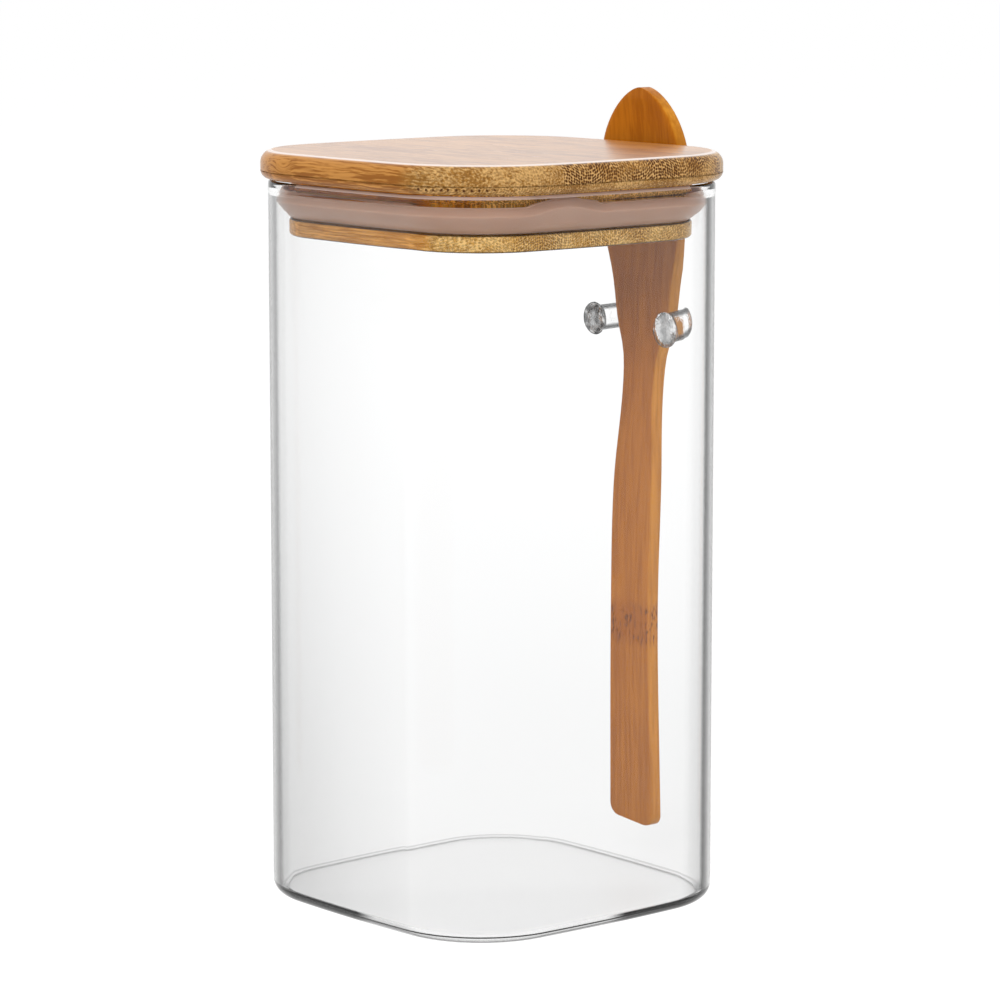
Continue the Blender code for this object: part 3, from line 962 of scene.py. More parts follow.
def bend(centre: Point, radius: float, first: float, last: float, count: int) -> list[Point]:
    """Points along a round stretch of a section.

    Args:
        centre: its middle, as a distance out and a height.
        radius: its radius.
        first: the angle it starts at, in degrees from straight out.
        last: the angle it ends at.
        count: how many steps it has.

    Returns:
        The points, ends included.
    """
    angles = [math.radians(first + (last - first) * i / count) for i in range(count + 1)]
    return [(centre[0] + radius * math.cos(a), centre[1] + radius * math.sin(a)) for a in angles]


class Bench:
    """Models one mesh with Blender's edit-mode tools."""

    def __init__(self, name: str) -> None:
        """Starts a piece from a small plane.

        Args:
            name: the piece's name.
        """
        if bpy.context.object and bpy.context.object.mode != "OBJECT":
            bpy.ops.object.mode_set(mode="OBJECT")
        bpy.ops.object.select_all(action="DESELECT")
        bpy.ops.mesh.primitive_plane_add(size=MM)
        self.piece = bpy.context.active_object
        self.piece.name = self.piece.data.name = name
        self.started = False
        bpy.ops.object.mode_set(mode="EDIT")
        bpy.ops.mesh.select_mode(type="VERT")
        bpy.ops.mesh.select_all(action="SELECT")

    def draw(self, points: Sequence[Vector], closed: bool = False) -> None:
        """Draws a path by pulling one point along it, and leaves it selected.

        Args:
            points: the places that it goes through.
            closed: True when it comes back to its start.
        """
        if self.started:
            bpy.ops.mesh.select_all(action="DESELECT")
            bpy.ops.mesh.primitive_plane_add(size=MM)
        self.started = True
        bpy.ops.mesh.merge(type="CENTER")
        bpy.ops.transform.translate(value=points[0])
        first = len(bmesh.from_edit_mesh(self.piece.data).verts) - 1
        for here, there in zip(points, points[1:]):
            bpy.ops.mesh.extrude_region_move(TRANSFORM_OT_translate={"value": there - here})
        if closed:
            mesh = bmesh.from_edit_mesh(self.piece.data)
            mesh.verts.ensure_lookup_table()
            mesh.verts[first].select = True
            bmesh.update_edit_mesh(self.piece.data)
            bpy.ops.mesh.edge_face_add()
        self.select(lambda vert: vert.index >= first)

    def sweep(self, plan: RoundedSquare) -> None:
        """Carries the selected path once round a plan.

        Args:
            plan: the outline that it follows.
        """
        for arc in plan.arcs():
            bpy.ops.mesh.spin(steps=arc.steps, angle=-arc.angle, center=(*arc.centre, 0.0), axis=AXIS)
        self.weld()

    def turn(self, centre: Vector, axis: Vector, steps: int) -> None:
        """Turns the selected path into a round piece, about an axis through a centre."""
        bpy.ops.mesh.spin(steps=steps, angle=2 * math.pi, center=centre, axis=axis)
        self.weld()

    def weld(self) -> None:
        """Makes one point of points that lie together."""
        bpy.ops.mesh.select_all(action="SELECT")
        bpy.ops.mesh.remove_doubles(threshold=MERGE)
        bpy.ops.mesh.select_all(action="DESELECT")

    def select(self, test: Callable[[bmesh.types.BMVert], bool]) -> None:
        """Selects the points that pass a test, and what lies wholly between them.

        Args:
            test: says whether a point is wanted.
        """
        bpy.ops.mesh.select_all(action="DESELECT")
        mesh = bmesh.from_edit_mesh(self.piece.data)
        mesh.verts.index_update()
        for vert in mesh.verts:
            if not vert.hide and test(vert):
                vert.select = True
        mesh.select_flush(True)
        bmesh.update_edit_mesh(self.piece.data)

    def select_rim(self, level: float) -> None:
        """Selects the open edges at a height."""
        self.select(lambda vert: vert.is_boundary and abs(vert.co.z - level) < MERGE)

    def cap(self, level: float) -> None:
        """Fills the open edge at a height with one flat face."""
        self.select_rim(level)
        bpy.ops.mesh.edge_face_add()

    def bridge(self, level: float) -> None:
        """Joins the two open edges at a height with a band of faces."""
        self.select_rim(level)
        bpy.ops.mesh.bridge_edge_loops()

    def refine(self, kind: str, **settings: object) -> None:
        """Adds a modifier and applies it.

        Args:
            kind: the modifier's type.
            settings: its settings.
        """
        bpy.ops.object.mode_set(mode="OBJECT")
        modifier = self.piece.modifiers.new(kind.lower(), kind)
        for name, value in settings.items():
            setattr(modifier, name, value)
        bpy.ops.object.modifier_apply(modifier=modifier.name)
        bpy.ops.object.mode_set(mode="EDIT")

    def finish(self, sharp: float = 40.0) -> bpy.types.Object:
        """Turns the faces outwards and shades them smooth.

        Args:
            sharp: edges that bend more than this many degrees stay crisp.

        Returns:
            The finished piece.
        """
        bpy.ops.mesh.select_all(action="SELECT")
        bpy.ops.mesh.normals_make_consistent(inside=False)
        bpy.ops.object.mode_set(mode="OBJECT")
        bpy.ops.object.shade_smooth_by_angle(angle=math.radians(sharp))
        return self.piece


def hand_over(
    piece: bpy.types.Object, node: str, body: Body, material: bpy.types.Material
) -> bpy.types.Object:
    """Dresses a finished piece and puts it in its node's place.

    Args:
        piece: the finished mesh.
        node: the node that it stands for.
        body: the body that it rides on.
        material: its material.

    Returns:
        The piece.
    """
    piece.data.materials.clear()
    piece.data.materials.append(material)
    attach(piece, body.value)
    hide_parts(node)
    LOG.info("%s: %d faces, for node %s", piece.name, len(piece.data.polygons), node)
    return piece


@dataclass
class GlassBody:
    """The glass vessel: a thin even wall with a rounded heel and a fire-polished rim."""

    half_side: float = 50 * MM
    corner_radius: float = 27 * MM
    side_radius: float = 480 * MM
    height: float = 191.4 * MM
    wall: float = 1.8 * MM
    heel_radius: float = 4 * MM
    bead_proud: float = 0.12 * MM
    bead_drop: float = 2.5 * MM
    bead_reach: float = 1.2 * MM
    rim_radius: float = 0.85 * MM
    floor_margin: float = 1.2 * MM
    bead_steps: int = 12
    # A face counts as level when its normal is this upright
    level: float = 0.999
    # The rim's finish, with its painted warm colour, ends this far out along the sideways line
    rim_reach: float = 51.5 * MM
    finish: ClearGlass = ClearGlass()
    # The outside of the wall has the painted dark edges and heel
    outer_finish: ClearGlass = ClearGlass(edge=EdgeShade())
    base_finish: ClearGlass = ClearGlass(tint=(0.92, 0.92, 0.92), roughness=0.45)
    rim_finish: ClearGlass = ClearGlass(edge=RimShade(), roughness=0.12, clearness=0.45)

    def plan(self) -> RoundedSquare:
        """The outline of the outer face."""
        return RoundedSquare(self.half_side, self.corner_radius, self.side_radius)

    def wall_x(self, y: float) -> float:
        """How far out the +X wall's outer face lies at this y."""
        return self.half_side - self.side_radius + math.sqrt(self.side_radius**2 - y**2)

    def bead(self) -> list[Point]:
        """The low swelling just under the rim.

        Returns:
            Distances out from the outline, and heights.
        """
        centre = self.height - self.bead_drop
        shares = [2 * i / self.bead_steps - 1 for i in range(self.bead_steps + 1)]
        swells = [self.bead_proud * (1 + math.cos(math.pi * share)) / 2 for share in shares]
        return [(swell, centre + share * self.bead_reach) for share, swell in zip(shares, swells)]

    def profile(self) -> list[Point]:
        """The half section, from under the base, up the outside and down the inside.

        Returns:
            Distances out from the outline, and heights.
        """
        heel, wall, lip = self.heel_radius, self.wall, self.rim_radius
        top = self.height - lip
        flat = heel + self.floor_margin
        return [
            (-flat, 0.0),
            *bend((-heel, heel), heel, -90, 0, 14),
            *self.bead(),
            *bend((-lip, top), lip, 0, 90, 7),
            *bend((lip - wall, top), lip, 90, 180, 7),
            *bend((-heel, heel), heel - wall, 0, -90, 10),
            (-flat, wall),
        ]

    def build(self) -> None:
        """Makes the vessel."""
        bench = Bench("jar_body")
        plan = self.plan()
        bench.draw(plan.section(self.profile()))
        bench.sweep(plan)
        bench.cap(0.0)
        bench.cap(self.wall)
        piece = bench.finish(sharp=60.0)
        hand_over(piece, "glass_jar", Body.JAR, self.finish.material("jar_glass"))
        piece.data.materials.append(self.outer_finish.material("jar_glass_outside"))
        piece.data.materials.append(self.base_finish.material("jar_glass_base"))
        piece.data.materials.append(self.rim_finish.material("jar_glass_rim"))
        for face in piece.data.polygons:
            face.material_index = self.finish_number(face)

    def finish_number(self, face: bpy.types.MeshPolygon) -> int:
        """Tells which finish a face has.

        Args:
            face: one of the vessel's faces.

        Returns:
            0 for the plain glass, 1 for the outside of the wall, 2 for the base and 3 for the rim.
        """
        height = face.center.z
        if abs(face.normal.z) > self.level and height < self.heel_radius:
            return 2
        outside = face.normal.xy.dot(face.center.xy) > 0
        if outside and height < self.height - self.bead_drop - self.bead_reach:
            return 1
        sideways = abs(face.center.dot(Vector(SIDEWAYS)))
        if height > self.height - self.rim_radius - MERGE and sideways < self.rim_reach:
            return 3
        return 0


@dataclass
class GlassPeg:
    """A short glass rod fused to the wall at its flared root."""

    name: str
    node: str
    body: GlassBody
    y: float
    radius: float
    tilt: float = 0.0
    drop: float = 42.6 * MM
    length: float = 11.3 * MM
    flare: float = 1.0 * MM
    flare_length: float = 1.5 * MM
    tip_rounding: float = 1.4 * MM
    seat: float = 0.03 * MM
    root_depth: float = 1.0 * MM
    turn_steps: int = 48
    shade: RodShade = RodShade()

    def outline(self) -> list[Point]:
        """The half section, from the middle of the tip to the middle of the root.

        Returns:
            Distances along the rod from the wall, and out from its axis.
        """
        tip_middle = (self.length - self.tip_rounding, self.radius - self.tip_rounding)
        tip = bend(tip_middle, self.tip_rounding, 0, 90, 8)
        stretch = self.flare_length / self.flare
        root = bend((0.0, self.radius + self.flare), self.flare, -90, -180, 8)
        root = [(self.seat + (along + self.flare) * stretch, out) for along, out in root]
        widest = root[-1][1]
        return [(self.length, 0.0), *tip, *root, (-self.root_depth, widest), (-self.root_depth, 0.0)]

    def build(self) -> None:
        """Turns the rod and cuts its root to the wall."""
        centre = Vector((self.body.wall_x(self.y), self.y, self.body.height - self.drop))
        axis = Vector((math.cos(self.tilt), 0.0, math.sin(self.tilt)))
        up = Vector((-math.sin(self.tilt), 0.0, math.cos(self.tilt)))
        bench = Bench(self.name)
        bench.draw([centre + axis * along + up * out for along, out in self.outline()])
        bench.turn(centre, axis, self.turn_steps)
        lean = math.asin(self.y / self.body.side_radius)
        bpy.ops.mesh.select_all(action="SELECT")
        bpy.ops.mesh.bisect(
            plane_co=centre + Vector((self.seat, 0.0, 0.0)),
            plane_no=(math.cos(lean), math.sin(lean), 0.0),
            use_fill=True,
            clear_inner=True,
        )
        finish = ClearGlass(edge=self.shade, swirl=1.0, ripple=0.35)
        hand_over(bench.finish(sharp=50.0), self.node, Body.JAR, finish.material(self.name))


@dataclass
class BambooLid:
    """Four glued bamboo layers: an overhanging plate and a plug with a groove for the seal."""

    half_side: float = 52.35 * MM
    corner_radius: float = 30.5 * MM
    side_radius: float = 510 * MM
    plug_inset: float = 6.1 * MM
    groove_inset: float = 7.6 * MM
    plate_low: float = 191.7 * MM
    top_rounding: float = 3.4 * MM
    under_rounding: float = 2.4 * MM
    plug_plate: float = 4.5 * MM
    plug_rounding: float = 0.9 * MM
    glue_line: float = 0.006 * MM
    glue_edge: float = 0.016 * MM
    margin: float = 1.5 * MM
    body: GlassBody = field(default_factory=GlassBody)
    face_finish: Bamboo = Bamboo(top_coat=0.95, swirl=Swirl())
    rim_finish: Bamboo = Bamboo(
        bundle_pitch=0.62 * MM,
        bundle_strength=0.6,
        strip_turn=0.0,
        strip_phase=0.2,
        dot_row=DotRow(),
        seed=0.37,
    )
    flange_finish: Bamboo = Bamboo(
        pale=(0.80, 0.36, 0.055),
        brown=(0.45, 0.16, 0.014),
        end_tint=(1.50, 2.00, 3.6),
        side_tint_and_painted_light=(1.05, 0.80, 0.35),
        bundle_pitch=0.70 * MM,
        bundle_strength=0.65,
        strip_turn=0.0,
        strip_phase=0.9,
        seed=0.52,
    )
    plug_finish: Bamboo = Bamboo(
        pale=(0.69, 0.335, 0.075),
        brown=(0.47, 0.19, 0.028),
        bundle_pitch=0.70 * MM,
        bundle_strength=0.65,
        strip_turn=0.0,
        # Painted shade along the plug's turned edges
        painted_turned_shade=0.85,
        seed=0.81,
    )

    def plate_plan(self) -> RoundedSquare:
        """The outline of the overhanging plate."""
        return RoundedSquare(self.half_side, self.corner_radius, self.side_radius)

    def edge(self, inset: float, level: float, side: int) -> list[Point]:
        """The fine edge of a layer at a glue line.

        Args:
            inset: how far in from the plan's outline the layer's side is.
            level: the height of its flat face.
            side: 1 where the layer lies below that face, and -1 where it lies above.

        Returns:
            Points from the flat face to the side, or back from the side where the layer lies above.
        """
        points = [
            (-inset - self.margin, level),
            (-inset - self.glue_edge, level),
            (-inset, level - side * self.glue_edge),
        ]
        return points[::side]

    def build(self) -> None:
        """Makes the four layers, with a glue line between each and the next."""
        face_low, face_high = (corner.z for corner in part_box("lid_face_ply"))
        rim_low, rim_high = (corner.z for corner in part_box("lid_rim_ply"))
        neck_low, neck_high = (corner.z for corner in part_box("lid_neck_ply"))
        plug_low, plug_high = (corner.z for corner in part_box("lid_plug_ply"))
        half = self.glue_line / 2
        high_seam = (rim_high + face_low) / 2
        middle_seam = (neck_high + rim_low) / 2
        low_seam = (plug_high + neck_low) / 2
        self.face_layer(high_seam + half, face_high)
        self.rim_layer(middle_seam + half, high_seam - half)
        self.neck_layer(low_seam + half, middle_seam - half)
        self.plug_layer(plug_low, low_seam - half)

    def sweep_layer(
        self, name: str, plan: RoundedSquare, section: list[Point], low: float, high: float
    ) -> Bench:
        """Carries a layer's section round a plan and closes its two flat faces.

        Args:
            name: the layer's name.
            plan: the outline that the section follows.
            section: the section, from one flat face to the other.
            low: the lowest height.
            high: the highest.

        Returns:
            The bench with the closed layer on it.
        """
        bench = Bench(name)
        bench.draw(plan.section(section))
        bench.sweep(plan)
        bench.cap(high)
        bench.cap(low)
        return bench

    def face_layer(self, low: float, high: float) -> None:
        """The top layer, whose top edge is nearly a half round.

        Args:
            low: its lowest height.
            high: its highest.
        """
        top = self.top_rounding
        rounding = bend((-top, high - top), top, 90, 0, 12)
        section = [(-top - self.margin, high), *rounding, *self.edge(0.0, low, -1)]
        bench = self.sweep_layer("lid_top_layer", self.plate_plan(), section, low, high)
        material = self.face_finish.material("lid_top_bamboo")
        hand_over(bench.finish(), "lid_face_ply", Body.LID, material)

    def rim_layer(self, low: float, high: float) -> None:
        """The second layer: the plate's rounded underside and the flange above the seal.

        Args:
            low: its lowest height.
            high: its highest.
        """
        under, plate_low = self.under_rounding, self.plate_low
        bench = Bench("lid_under_layer")
        plate = self.plate_plan()
        section = [*self.edge(0.0, high, 1), *bend((-under, plate_low + under), under, 0, -90, 8)]
        bench.draw(plate.section(section))
        bench.sweep(plate)
        plug = self.body.plan()
        bench.draw(plug.section([(-self.plug_inset, plate_low), *self.edge(self.plug_inset, low, -1)]))
        bench.sweep(plug)
        bench.bridge(plate_low)
        bench.cap(high)
        bench.cap(low)
        material = self.rim_finish.material("lid_under_bamboo")
        piece = hand_over(bench.finish(), "lid_rim_ply", Body.LID, material)
        piece.data.materials.append(self.flange_finish.material("lid_flange_bamboo"))
        for face in piece.data.polygons:
            if face.center.z < plate_low - MERGE:
                face.material_index = 1

    def neck_layer(self, low: float, high: float) -> None:
        """The third layer, which is all the groove's floor.

        Args:
            low: its lowest height.
            high: its highest.
        """
        section = [*self.edge(self.groove_inset, high, 1), *self.edge(self.groove_inset, low, -1)]
        bench = self.sweep_layer("lid_groove_layer", self.body.plan(), section, low, high)
        material = self.plug_finish.material("lid_groove_bamboo")
        hand_over(bench.finish(), "lid_neck_ply", Body.LID, material)

    def plug_layer(self, low: float, high: float) -> None:
        """The lowest layer: the plug plate and the last of the groove's floor.

        Args:
            low: its lowest height.
            high: its highest.
        """
        soft, shelf = self.plug_rounding, low + self.plug_plate
        middle = -self.plug_inset - soft
        section = [
            *self.edge(self.groove_inset, high, 1),
            (-self.groove_inset, shelf),
            *bend((middle, shelf - soft), soft, 90, 0, 6),
            *bend((middle, low + soft), soft, 0, -90, 6),
            (middle - self.margin, low),
        ]
        bench = self.sweep_layer("lid_plug_layer", self.body.plan(), section, low, high)
        material = self.plug_finish.material("lid_plug_bamboo")
        hand_over(bench.finish(), "lid_plug_ply", Body.LID, material)


@dataclass(frozen=True)
class LipWave:
    """A place where the seal's soft lip stands higher or lower than elsewhere."""

    x: float
    y: float
    lift: float
    reach: float


@dataclass
class SealRing:
    """The silicone ring: a body in the groove and a lip that bends against the glass."""

    body: GlassBody = field(default_factory=GlassBody)
    inner: float = 7.5 * MM
    foot: float = 6.4 * MM
    widest: float = 1.92 * MM
    widest_height: float = 4.7 * MM
    lip_height: float = 7.0 * MM
    lip_edge: float = 0.8 * MM
    curl: float = 1.2 * MM
    tip_back: float = 0.12 * MM
    edge_rounding: float = 0.19 * MM
    trough: float = 2.6 * MM
    belly: float = 0.3 * MM
    body_height: float = 4.4 * MM
    waves: tuple[LipWave, ...] = (
        LipWave(-16.5 * MM, -46 * MM, 2.0 * MM, 12.5 * MM),
        LipWave(-46 * MM, 9 * MM, -0.1 * MM, 26 * MM),
        LipWave(44 * MM, -36 * MM, -0.2 * MM, 24 * MM),
    )
    # Points this near a wave's place are pulled by all of its lift
    wave_core: float = 3 * MM
    bevel_angle: float = math.radians(22)
    finish: Silicone = Silicone()

    def profile(self, low: float) -> list[Point]:
        """The closed section.

        Args:
            low: the height of its foot.

        Returns:
            Distances out from the glass body's outline, and heights.
        """
        ridge = (self.inner + self.foot) / 2
        wide, high = low + self.widest_height, low + self.lip_height
        half = self.lip_edge / 2
        curl = self.widest + self.curl
        inwards = [
            (self.inner, low),
            (self.foot, low),
            ((self.foot + self.widest) / 2 - self.belly, (low + wide) / 2 - self.belly),
            (self.widest, wide),
            (self.widest + self.tip_back, wide + half),
            (curl, high),
            (curl + self.lip_edge, high),
            (curl, wide),
            ((ridge + self.widest) / 2, low + self.trough),
            (ridge, low + self.body_height),
            (self.inner, low + self.body_height),
        ]
        return [(-distance, height) for distance, height in inwards]

    def build(self) -> None:
        """Makes the ring and lets its lip wave."""
        low, high = (corner.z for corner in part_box("seal_ring"))
        bench = Bench("seal")
        plan = self.body.plan()
        bench.draw(plan.section(self.profile(low)), closed=True)
        bench.sweep(plan)
        for wave in self.waves:
            self.lift_lip(bench, wave, low + self.widest_height)
        bench.refine(
            "BEVEL",
            width=self.edge_rounding,
            segments=3,
            limit_method="ANGLE",
            angle_limit=self.bevel_angle,
        )
        material = self.finish.material("seal_silicone", low, high)
        hand_over(bench.finish(sharp=60.0), "seal_ring", Body.LID, material)

    def lift_lip(self, bench: Bench, wave: LipWave, wide: float) -> None:
        """Pulls the lip up or down round one place.

        Args:
            bench: the bench that the seal is on.
            wave: the place and how far the lip moves.
            wide: the height of the lip's widest point.
        """
        centre = Vector((wave.x, wave.y))
        bench.select(lambda vert: vert.co.z <= wide - MERGE)
        bpy.ops.mesh.hide(unselected=False)
        bench.select(lambda vert: (vert.co.xy - centre).length < self.wave_core)
        bpy.ops.transform.translate(
            value=(0.0, 0.0, wave.lift),
            use_proportional_edit=True,
            proportional_edit_falloff="SMOOTH",
            proportional_size=wave.reach,
        )
        bpy.ops.mesh.reveal(select=False)


@dataclass
class Spoon:
    """The bamboo spoon, bowl up, hung by its shoulders between the pegs."""

    length: float = 202.05 * MM
    foot_z: float = 11.6 * MM
    face_x: float = 50 * MM
    centre_y: float = 0.7 * MM
    corner: float = 0.55 * MM
    foot_corner: float = 3.0 * MM
    foot_slant: float = math.radians(5.5)
    slant_reach: float = 0.28
    # The bowl's hollow, at shares of the length and of the width
    dish_depth: float = 1.7 * MM
    dish_start: float = 0.73
    dish_end: float = 0.985
    dish_width: float = 0.90
    dish_power: float = 0.7
    widest: float = 0.893
    bowl_half: float = 15.9 * MM
    tip_power: float = 0.62
    # The tip's narrow end is this share of the length short of a point
    tip_cut: float = 0.00003
    # Cuts across the two wide sides, and steps up the foot's rounding, the handle and the tip
    across: int = 14
    foot_steps: int = 6
    handle_steps: int = 54
    tip_steps: int = 16
    finish: Bamboo = Bamboo(
        grain=Grain.UPRIGHT,
        pale=(0.57, 0.190, 0.010),
        brown=(0.43, 0.127, 0.004),
        bundle=(0.20, 0.055, 0.006),
        end_tint=(1.0, 1.05, 1.1),
        # The lighter narrow sides are painted light
        side_tint_and_painted_light=(1.15, 1.35, 2.1),
        bundle_strength=0.06,
        side_strength=0.06,
        speck_strength=0.0,
        thread_scale=900.0,
        ripple=0.0,
        tone=(0.36, 0.65),
        strip_start=0.0,
        strip_width=90 * MM,
        strip_phase=0.0,
        node_height=67 * MM,
        # Painted shade where the lid and plug shade the spoon, and painted light towards its foot
        painted_shade_along=(
            (0.14, 1.0),
            (0.45, 0.88),
            (0.60, 0.88),
            (0.72, 0.70),
            (0.88, 0.70),
            (0.93, 0.88),
        ),
        painted_light_gain=1.14,
        roughness=0.36,
        relief=0.1,
        seed=0.2,
    )

    def widths(self) -> list[Point]:
        """Gives the half widths up to the bowl's widest place.

        Returns:
            Shares of the length, and half the width at each.
        """
        return [
            (0.0, 8.6 * MM),
            (0.28, 7.7 * MM),
            (0.46, 7.7 * MM),
            (0.575, 6.2 * MM),
            (0.635, 6.8 * MM),
            (0.679, 9.86 * MM),
            (0.74, self.bowl_half * 0.76),
            (0.80, self.bowl_half * 0.95),
            (self.widest, self.bowl_half),
        ]

    def standoffs(self) -> list[Point]:
        """Gives how far the near face stands off the wall.

        Returns:
            Shares of the length, and the distance at each.
        """
        return [
            (0.0, 1.2 * MM),
            (0.28, 0.3 * MM),
            (0.46, 1.19 * MM),
            (0.635, 3.74 * MM),
            (0.679, 4.25 * MM),
            (0.74, 4.25 * MM),
            (self.widest, 2.95 * MM),
            (1.0, 2.75 * MM),
        ]

    def thicknesses(self) -> list[Point]:
        """Gives the spoon's thickness.

        Returns:
            Shares of the length, and the thickness at each.
        """
        return [
            (0.0, 3.9 * MM),
            (0.679, 4.4 * MM),
            (0.80, 4.4 * MM),
            (self.widest, 4.4 * MM),
            (1.0, 3.6 * MM),
        ]

    @staticmethod
    def smooth_through(stations: Sequence[Point], place: float) -> float:
        """The value at a place on a smooth curve through stations.

        Args:
            stations: places and values, in order.
            place: where it is read.

        Returns:
            The value there.
        """
        last = len(stations) - 1
        slopes = []
        for i in range(last + 1):
            before, after = stations[max(i - 1, 0)], stations[min(i + 1, last)]
            slopes.append((after[1] - before[1]) / (after[0] - before[0]))
        i = min(max(sum(place >= station[0] for station in stations) - 1, 0), last - 1)
        (start, low), (end, high) = stations[i], stations[i + 1]
        span = end - start
        t = (place - start) / span
        return (
            low * (1 + 2 * t) * (1 - t) ** 2
            + high * t**2 * (3 - 2 * t)
            + slopes[i] * span * t * (1 - t) ** 2
            - slopes[i + 1] * span * t**2 * (1 - t)
        )

    def half_width(self, share: float) -> float:
        """Half the width of the spoon.

        Args:
            share: the share of the length that it is read at.

        Returns:
            The half width, which falls to nothing at the tip.
        """
        if share > self.widest:
            beyond = (share - self.widest) / (1 - self.widest)
            return self.bowl_half * max(1 - beyond**2, 0) ** self.tip_power
        width = self.smooth_through(self.widths(), share)
        height, round_off = share * self.length, self.foot_corner
        if height < round_off:
            width -= round_off - math.sqrt(round_off**2 - (round_off - height) ** 2)
        return width

    def shares(self) -> list[float]:
        """Where along the spoon its sections stand.

        Returns:
            Shares of the length, closest together round the two ends.
        """
        foot, quarter = self.foot_corner / self.length, math.pi / 2
        handle, bowl = self.widest - foot, 1 - self.widest
        rounding = [foot * (1 - math.cos(quarter * i / self.foot_steps)) for i in range(self.foot_steps)]
        shaft = [foot + handle * i / self.handle_steps for i in range(self.handle_steps)]
        tip = [self.widest + bowl * math.sin(quarter * i / self.tip_steps) for i in range(self.tip_steps)]
        return [*rounding, *shaft, *tip, 1 - self.tip_cut]

    def build(self) -> None:
        """Pulls a rounded box section through the spoon's length, then hollows the bowl."""
        bench = Bench("hanging_spoon")
        shares = self.shares()
        half, thick = self.half_width(0.0), self.smooth_through(self.thicknesses(), 0.0)
        near = self.face_x + self.smooth_through(self.standoffs(), 0.0)
        bpy.ops.transform.resize(value=(thick / MM, 2 * half / MM, 1.0))
        bpy.ops.transform.translate(value=(near + thick / 2, self.centre_y, self.foot_z))
        bpy.ops.mesh.delete(type="ONLY_FACE")
        bpy.ops.mesh.select_all(action="SELECT")
        bpy.ops.mesh.bevel(offset=self.corner, segments=4, affect="VERTICES")
        self.split_long_edges(bench, half)
        bpy.ops.mesh.select_all(action="SELECT")
        for low, high in zip(shares, shares[1:]):
            self.pull(low, high)
        self.close_ends(bench)
        self.hollow(bench)
        self.slant_foot(bench)
        material = self.finish.material("spoon_bamboo")
        hand_over(bench.finish(sharp=50.0), "spoon", Body.SPOON, material)

    def split_long_edges(self, bench: Bench, half: float) -> None:
        """Divides the section's two wide sides, so that the bowl can be hollowed.

        Args:
            bench: the bench that the spoon is on.
            half: the section's half width.
        """
        bpy.ops.mesh.select_all(action="DESELECT")
        mesh = bmesh.from_edit_mesh(bench.piece.data)
        for edge in mesh.edges:
            if edge.calc_length() > half:
                edge.select = True
        bmesh.update_edit_mesh(bench.piece.data)
        bpy.ops.mesh.subdivide(number_cuts=self.across)

    def pull(self, low: float, high: float) -> None:
        """Extrudes the section from one share of the length to the next and gives it its size there.

        Args:
            low: the share that it is at.
            high: the share that it goes to.
        """
        thick = [self.smooth_through(self.thicknesses(), share) for share in (low, high)]
        near = [self.smooth_through(self.standoffs(), share) for share in (low, high)]
        middle = [self.face_x + n + t / 2 for n, t in zip(near, thick)]
        rise = (high - low) * self.length
        bpy.ops.mesh.extrude_region_move(TRANSFORM_OT_translate={"value": (middle[1] - middle[0], 0.0, rise)})
        bpy.ops.transform.resize(
            value=(thick[1] / thick[0], self.half_width(high) / self.half_width(low), 1.0),
            center_override=(middle[1], self.centre_y, self.foot_z + high * self.length),
        )

    def close_ends(self, bench: Bench) -> None:
        """Fills the foot's section and the narrow one at the tip.

        Args:
            bench: the bench that the spoon is on.
        """
        middle = self.foot_z + self.length / 2
        for above in (False, True):
            bench.select(lambda vert, above=above: vert.is_boundary and (vert.co.z > middle) == above)
            bpy.ops.mesh.edge_face_add()

    def hollow(self, bench: Bench) -> None:
        """Presses the bowl's near face in, deepest in its middle.

        Args:
            bench: the bench that the spoon is on.
        """
        mesh = bmesh.from_edit_mesh(bench.piece.data)
        for vert in mesh.verts:
            share = (vert.co.z - self.foot_z) / self.length
            if not self.dish_start < share < self.dish_end:
                continue
            thick = self.smooth_through(self.thicknesses(), share)
            near = self.face_x + self.smooth_through(self.standoffs(), share)
            across = (vert.co.y - self.centre_y) / (self.half_width(share) * self.dish_width)
            if vert.co.x > near + thick / 2 or abs(across) >= 1:
                continue
            along = (share - self.dish_start) / (self.dish_end - self.dish_start)
            vert.co.x += self.dish_depth * math.sin(math.pi * along) ** self.dish_power * (1 - across**2)
        bmesh.update_edit_mesh(bench.piece.data)

    def slant_foot(self, bench: Bench) -> None:
        """Leans the foot's edge a few degrees, which fades out up the handle.

        Args:
            bench: the bench that the spoon is on.
        """
        mesh = bmesh.from_edit_mesh(bench.piece.data)
        reach = self.slant_reach * self.length
        for vert in mesh.verts:
            fade = max(1 - (vert.co.z - self.foot_z) / reach, 0)
            vert.co.z += math.tan(self.foot_slant) * fade * (vert.co.y - self.centre_y)
        bmesh.update_edit_mesh(bench.piece.data)


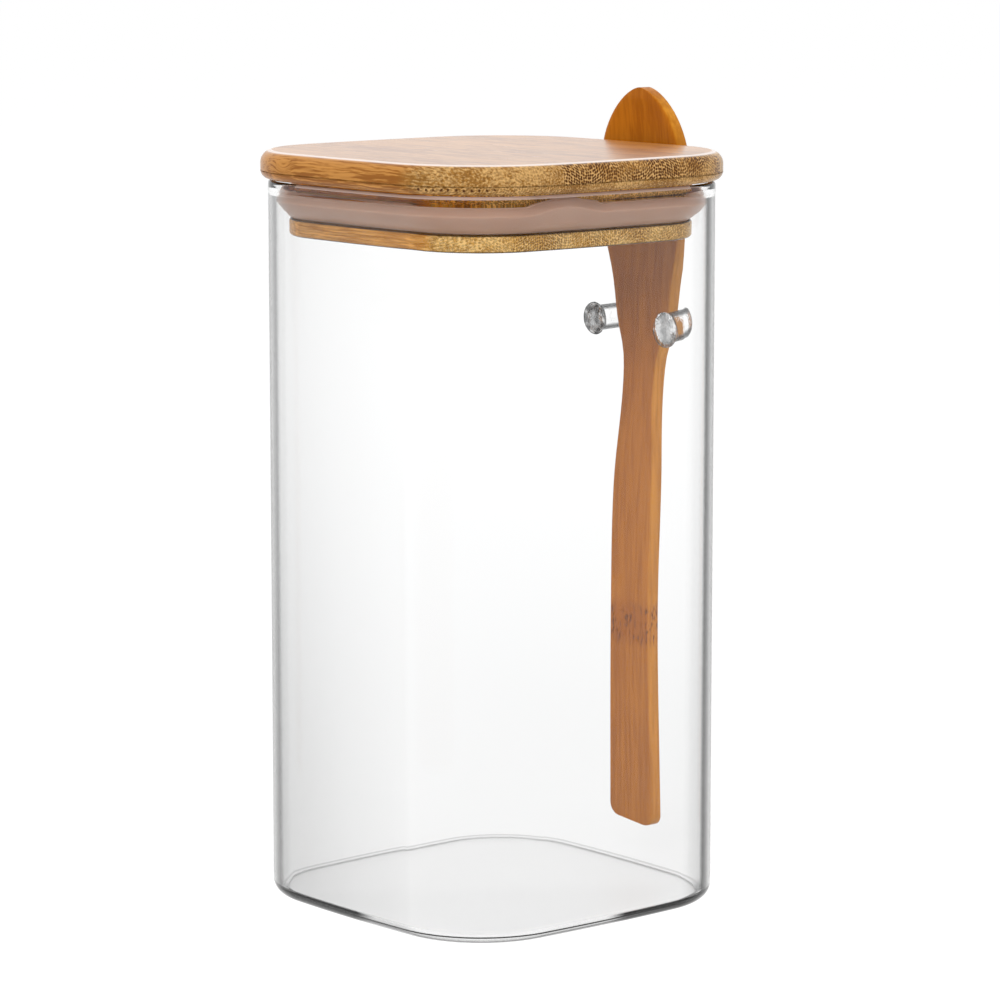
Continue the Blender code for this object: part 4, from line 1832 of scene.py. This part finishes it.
@dataclass
class Studio:
    """The floor, the background, the soft lamps and the camera."""

    camera_place: Place = (-0.71648, -0.84725, 0.27423)
    camera_lens: float = 152.36
    camera_sensor: float = 36.0
    camera_nearest: float = 0.05
    camera_pitch: float = 81.4
    camera_heading: float = -40.3376
    floor_half: float = 14.0
    floor_grey: float = 0.8
    floor_shadow: float = 0.22
    floor_glow: float = 1.18
    ambient: float = 0.45
    lamp_aim: Place = (0.0, 0.0, 0.1)

    def build(self) -> None:
        """Sets the stage."""
        self.add_camera()
        self.add_floor()
        self.add_world()
        self.add_lamp("key", (-1.3, -0.8, 1.05), 1.0, 16.0)
        self.add_lamp("fill", (0.9, -1.4, 0.4), 1.2, 7.0)
        self.add_lamp("top", (0.1, 0.3, 1.6), 1.2, 8.0)
        bpy.context.scene.view_settings.view_transform = "Standard"

    def add_camera(self) -> None:
        """The camera stands where the photograph was taken from."""
        data = bpy.data.cameras.new("camera")
        data.lens = self.camera_lens
        data.sensor_width = self.camera_sensor
        data.clip_start = self.camera_nearest
        camera = bpy.data.objects.new("camera", data)
        camera.location = self.camera_place
        camera.rotation_euler = (math.radians(self.camera_pitch), 0.0, math.radians(self.camera_heading))
        bpy.context.scene.collection.objects.link(camera)
        bpy.context.scene.camera = camera

    def add_floor(self) -> None:
        """A white floor that keeps a faint shadow."""
        bpy.ops.object.select_all(action="DESELECT")
        bpy.ops.mesh.primitive_plane_add(size=2 * self.floor_half)
        floor = bpy.context.active_object
        floor.name = "floor"
        material, graph = material_graph("floor")
        matt = graph.add("ShaderNodeBsdfDiffuse", {"Color": (self.floor_grey,) * 3})
        white = graph.add("ShaderNodeEmission", {"Color": 1.0, "Strength": self.floor_glow})
        seen = self.seen_ray(graph) * (1.0 - self.floor_shadow)
        graph.surface(graph.add("ShaderNodeMixShader", {0: seen, 1: matt, 2: white}))
        floor.data.materials.append(material)

    @staticmethod
    def seen_ray(graph: Graph) -> Signal:
        """Tells the rays that show something from those that only carry light.

        Args:
            graph: the graph of the floor or the world.

        Returns:
            1 for a ray that shows something, straight or by way of gloss or glass, and otherwise 0.
        """
        path = {
            name: graph.add("ShaderNodeLightPath", output=name)
            for name in ("Is Camera Ray", "Is Glossy Ray", "Is Transmission Ray", "Diffuse Depth")
        }
        straight = path["Is Camera Ray"] + path["Is Glossy Ray"] + path["Is Transmission Ray"]
        return straight.rise(0.0, 1.0) * path["Diffuse Depth"].rise(0.0, 1.0, 1.0, 0.0)

    def add_world(self) -> None:
        """White to look at, and plain soft light from all sides."""
        world = bpy.data.worlds.new("studio")
        bpy.context.scene.world = world
        world.use_nodes = True
        graph = Graph(world.node_tree)
        strength = graph.mix(self.ambient, 1.0, self.seen_ray(graph), Fill.VALUE)
        white = graph.add("ShaderNodeBackground", {"Color": 1.0, "Strength": strength})
        graph.surface(white, "ShaderNodeOutputWorld")

    def add_lamp(self, name: str, place: Place, size: float, power: float) -> None:
        """A big soft lamp that shines at the jar's middle.

        Args:
            name: its name.
            place: where it hangs.
            size: the length of its side.
            power: its power in watts.
        """
        data = bpy.data.lights.new(name, "AREA")
        data.size = size
        data.energy = power
        lamp = bpy.data.objects.new(name, data)
        lamp.location = place
        ray = Vector(self.lamp_aim) - Vector(place)
        lamp.rotation_euler = ray.to_track_quat("-Z", "Y").to_euler()
        lamp.visible_transmission = False
        lamp.visible_glossy = False
        bpy.context.scene.collection.objects.link(lamp)


def main() -> None:
    logging.basicConfig(level=logging.INFO, format="%(name)s: %(message)s")
    body = GlassBody()
    body.build()
    GlassPeg("peg_left", "glass_peg_left", body, y=14.45 * MM, radius=3.45 * MM).build()
    GlassPeg(
        "peg_right",
        "glass_peg_right",
        body,
        y=-13.65 * MM,
        radius=4.05 * MM,
        tilt=math.radians(4),
        shade=RodShade(root_dark=0.5, root_light=0.1),
    ).build()
    BambooLid(body=body).build()
    SealRing(body=body).build()
    Spoon().build()
    Studio().build()


if __name__ == "__main__":
    main()
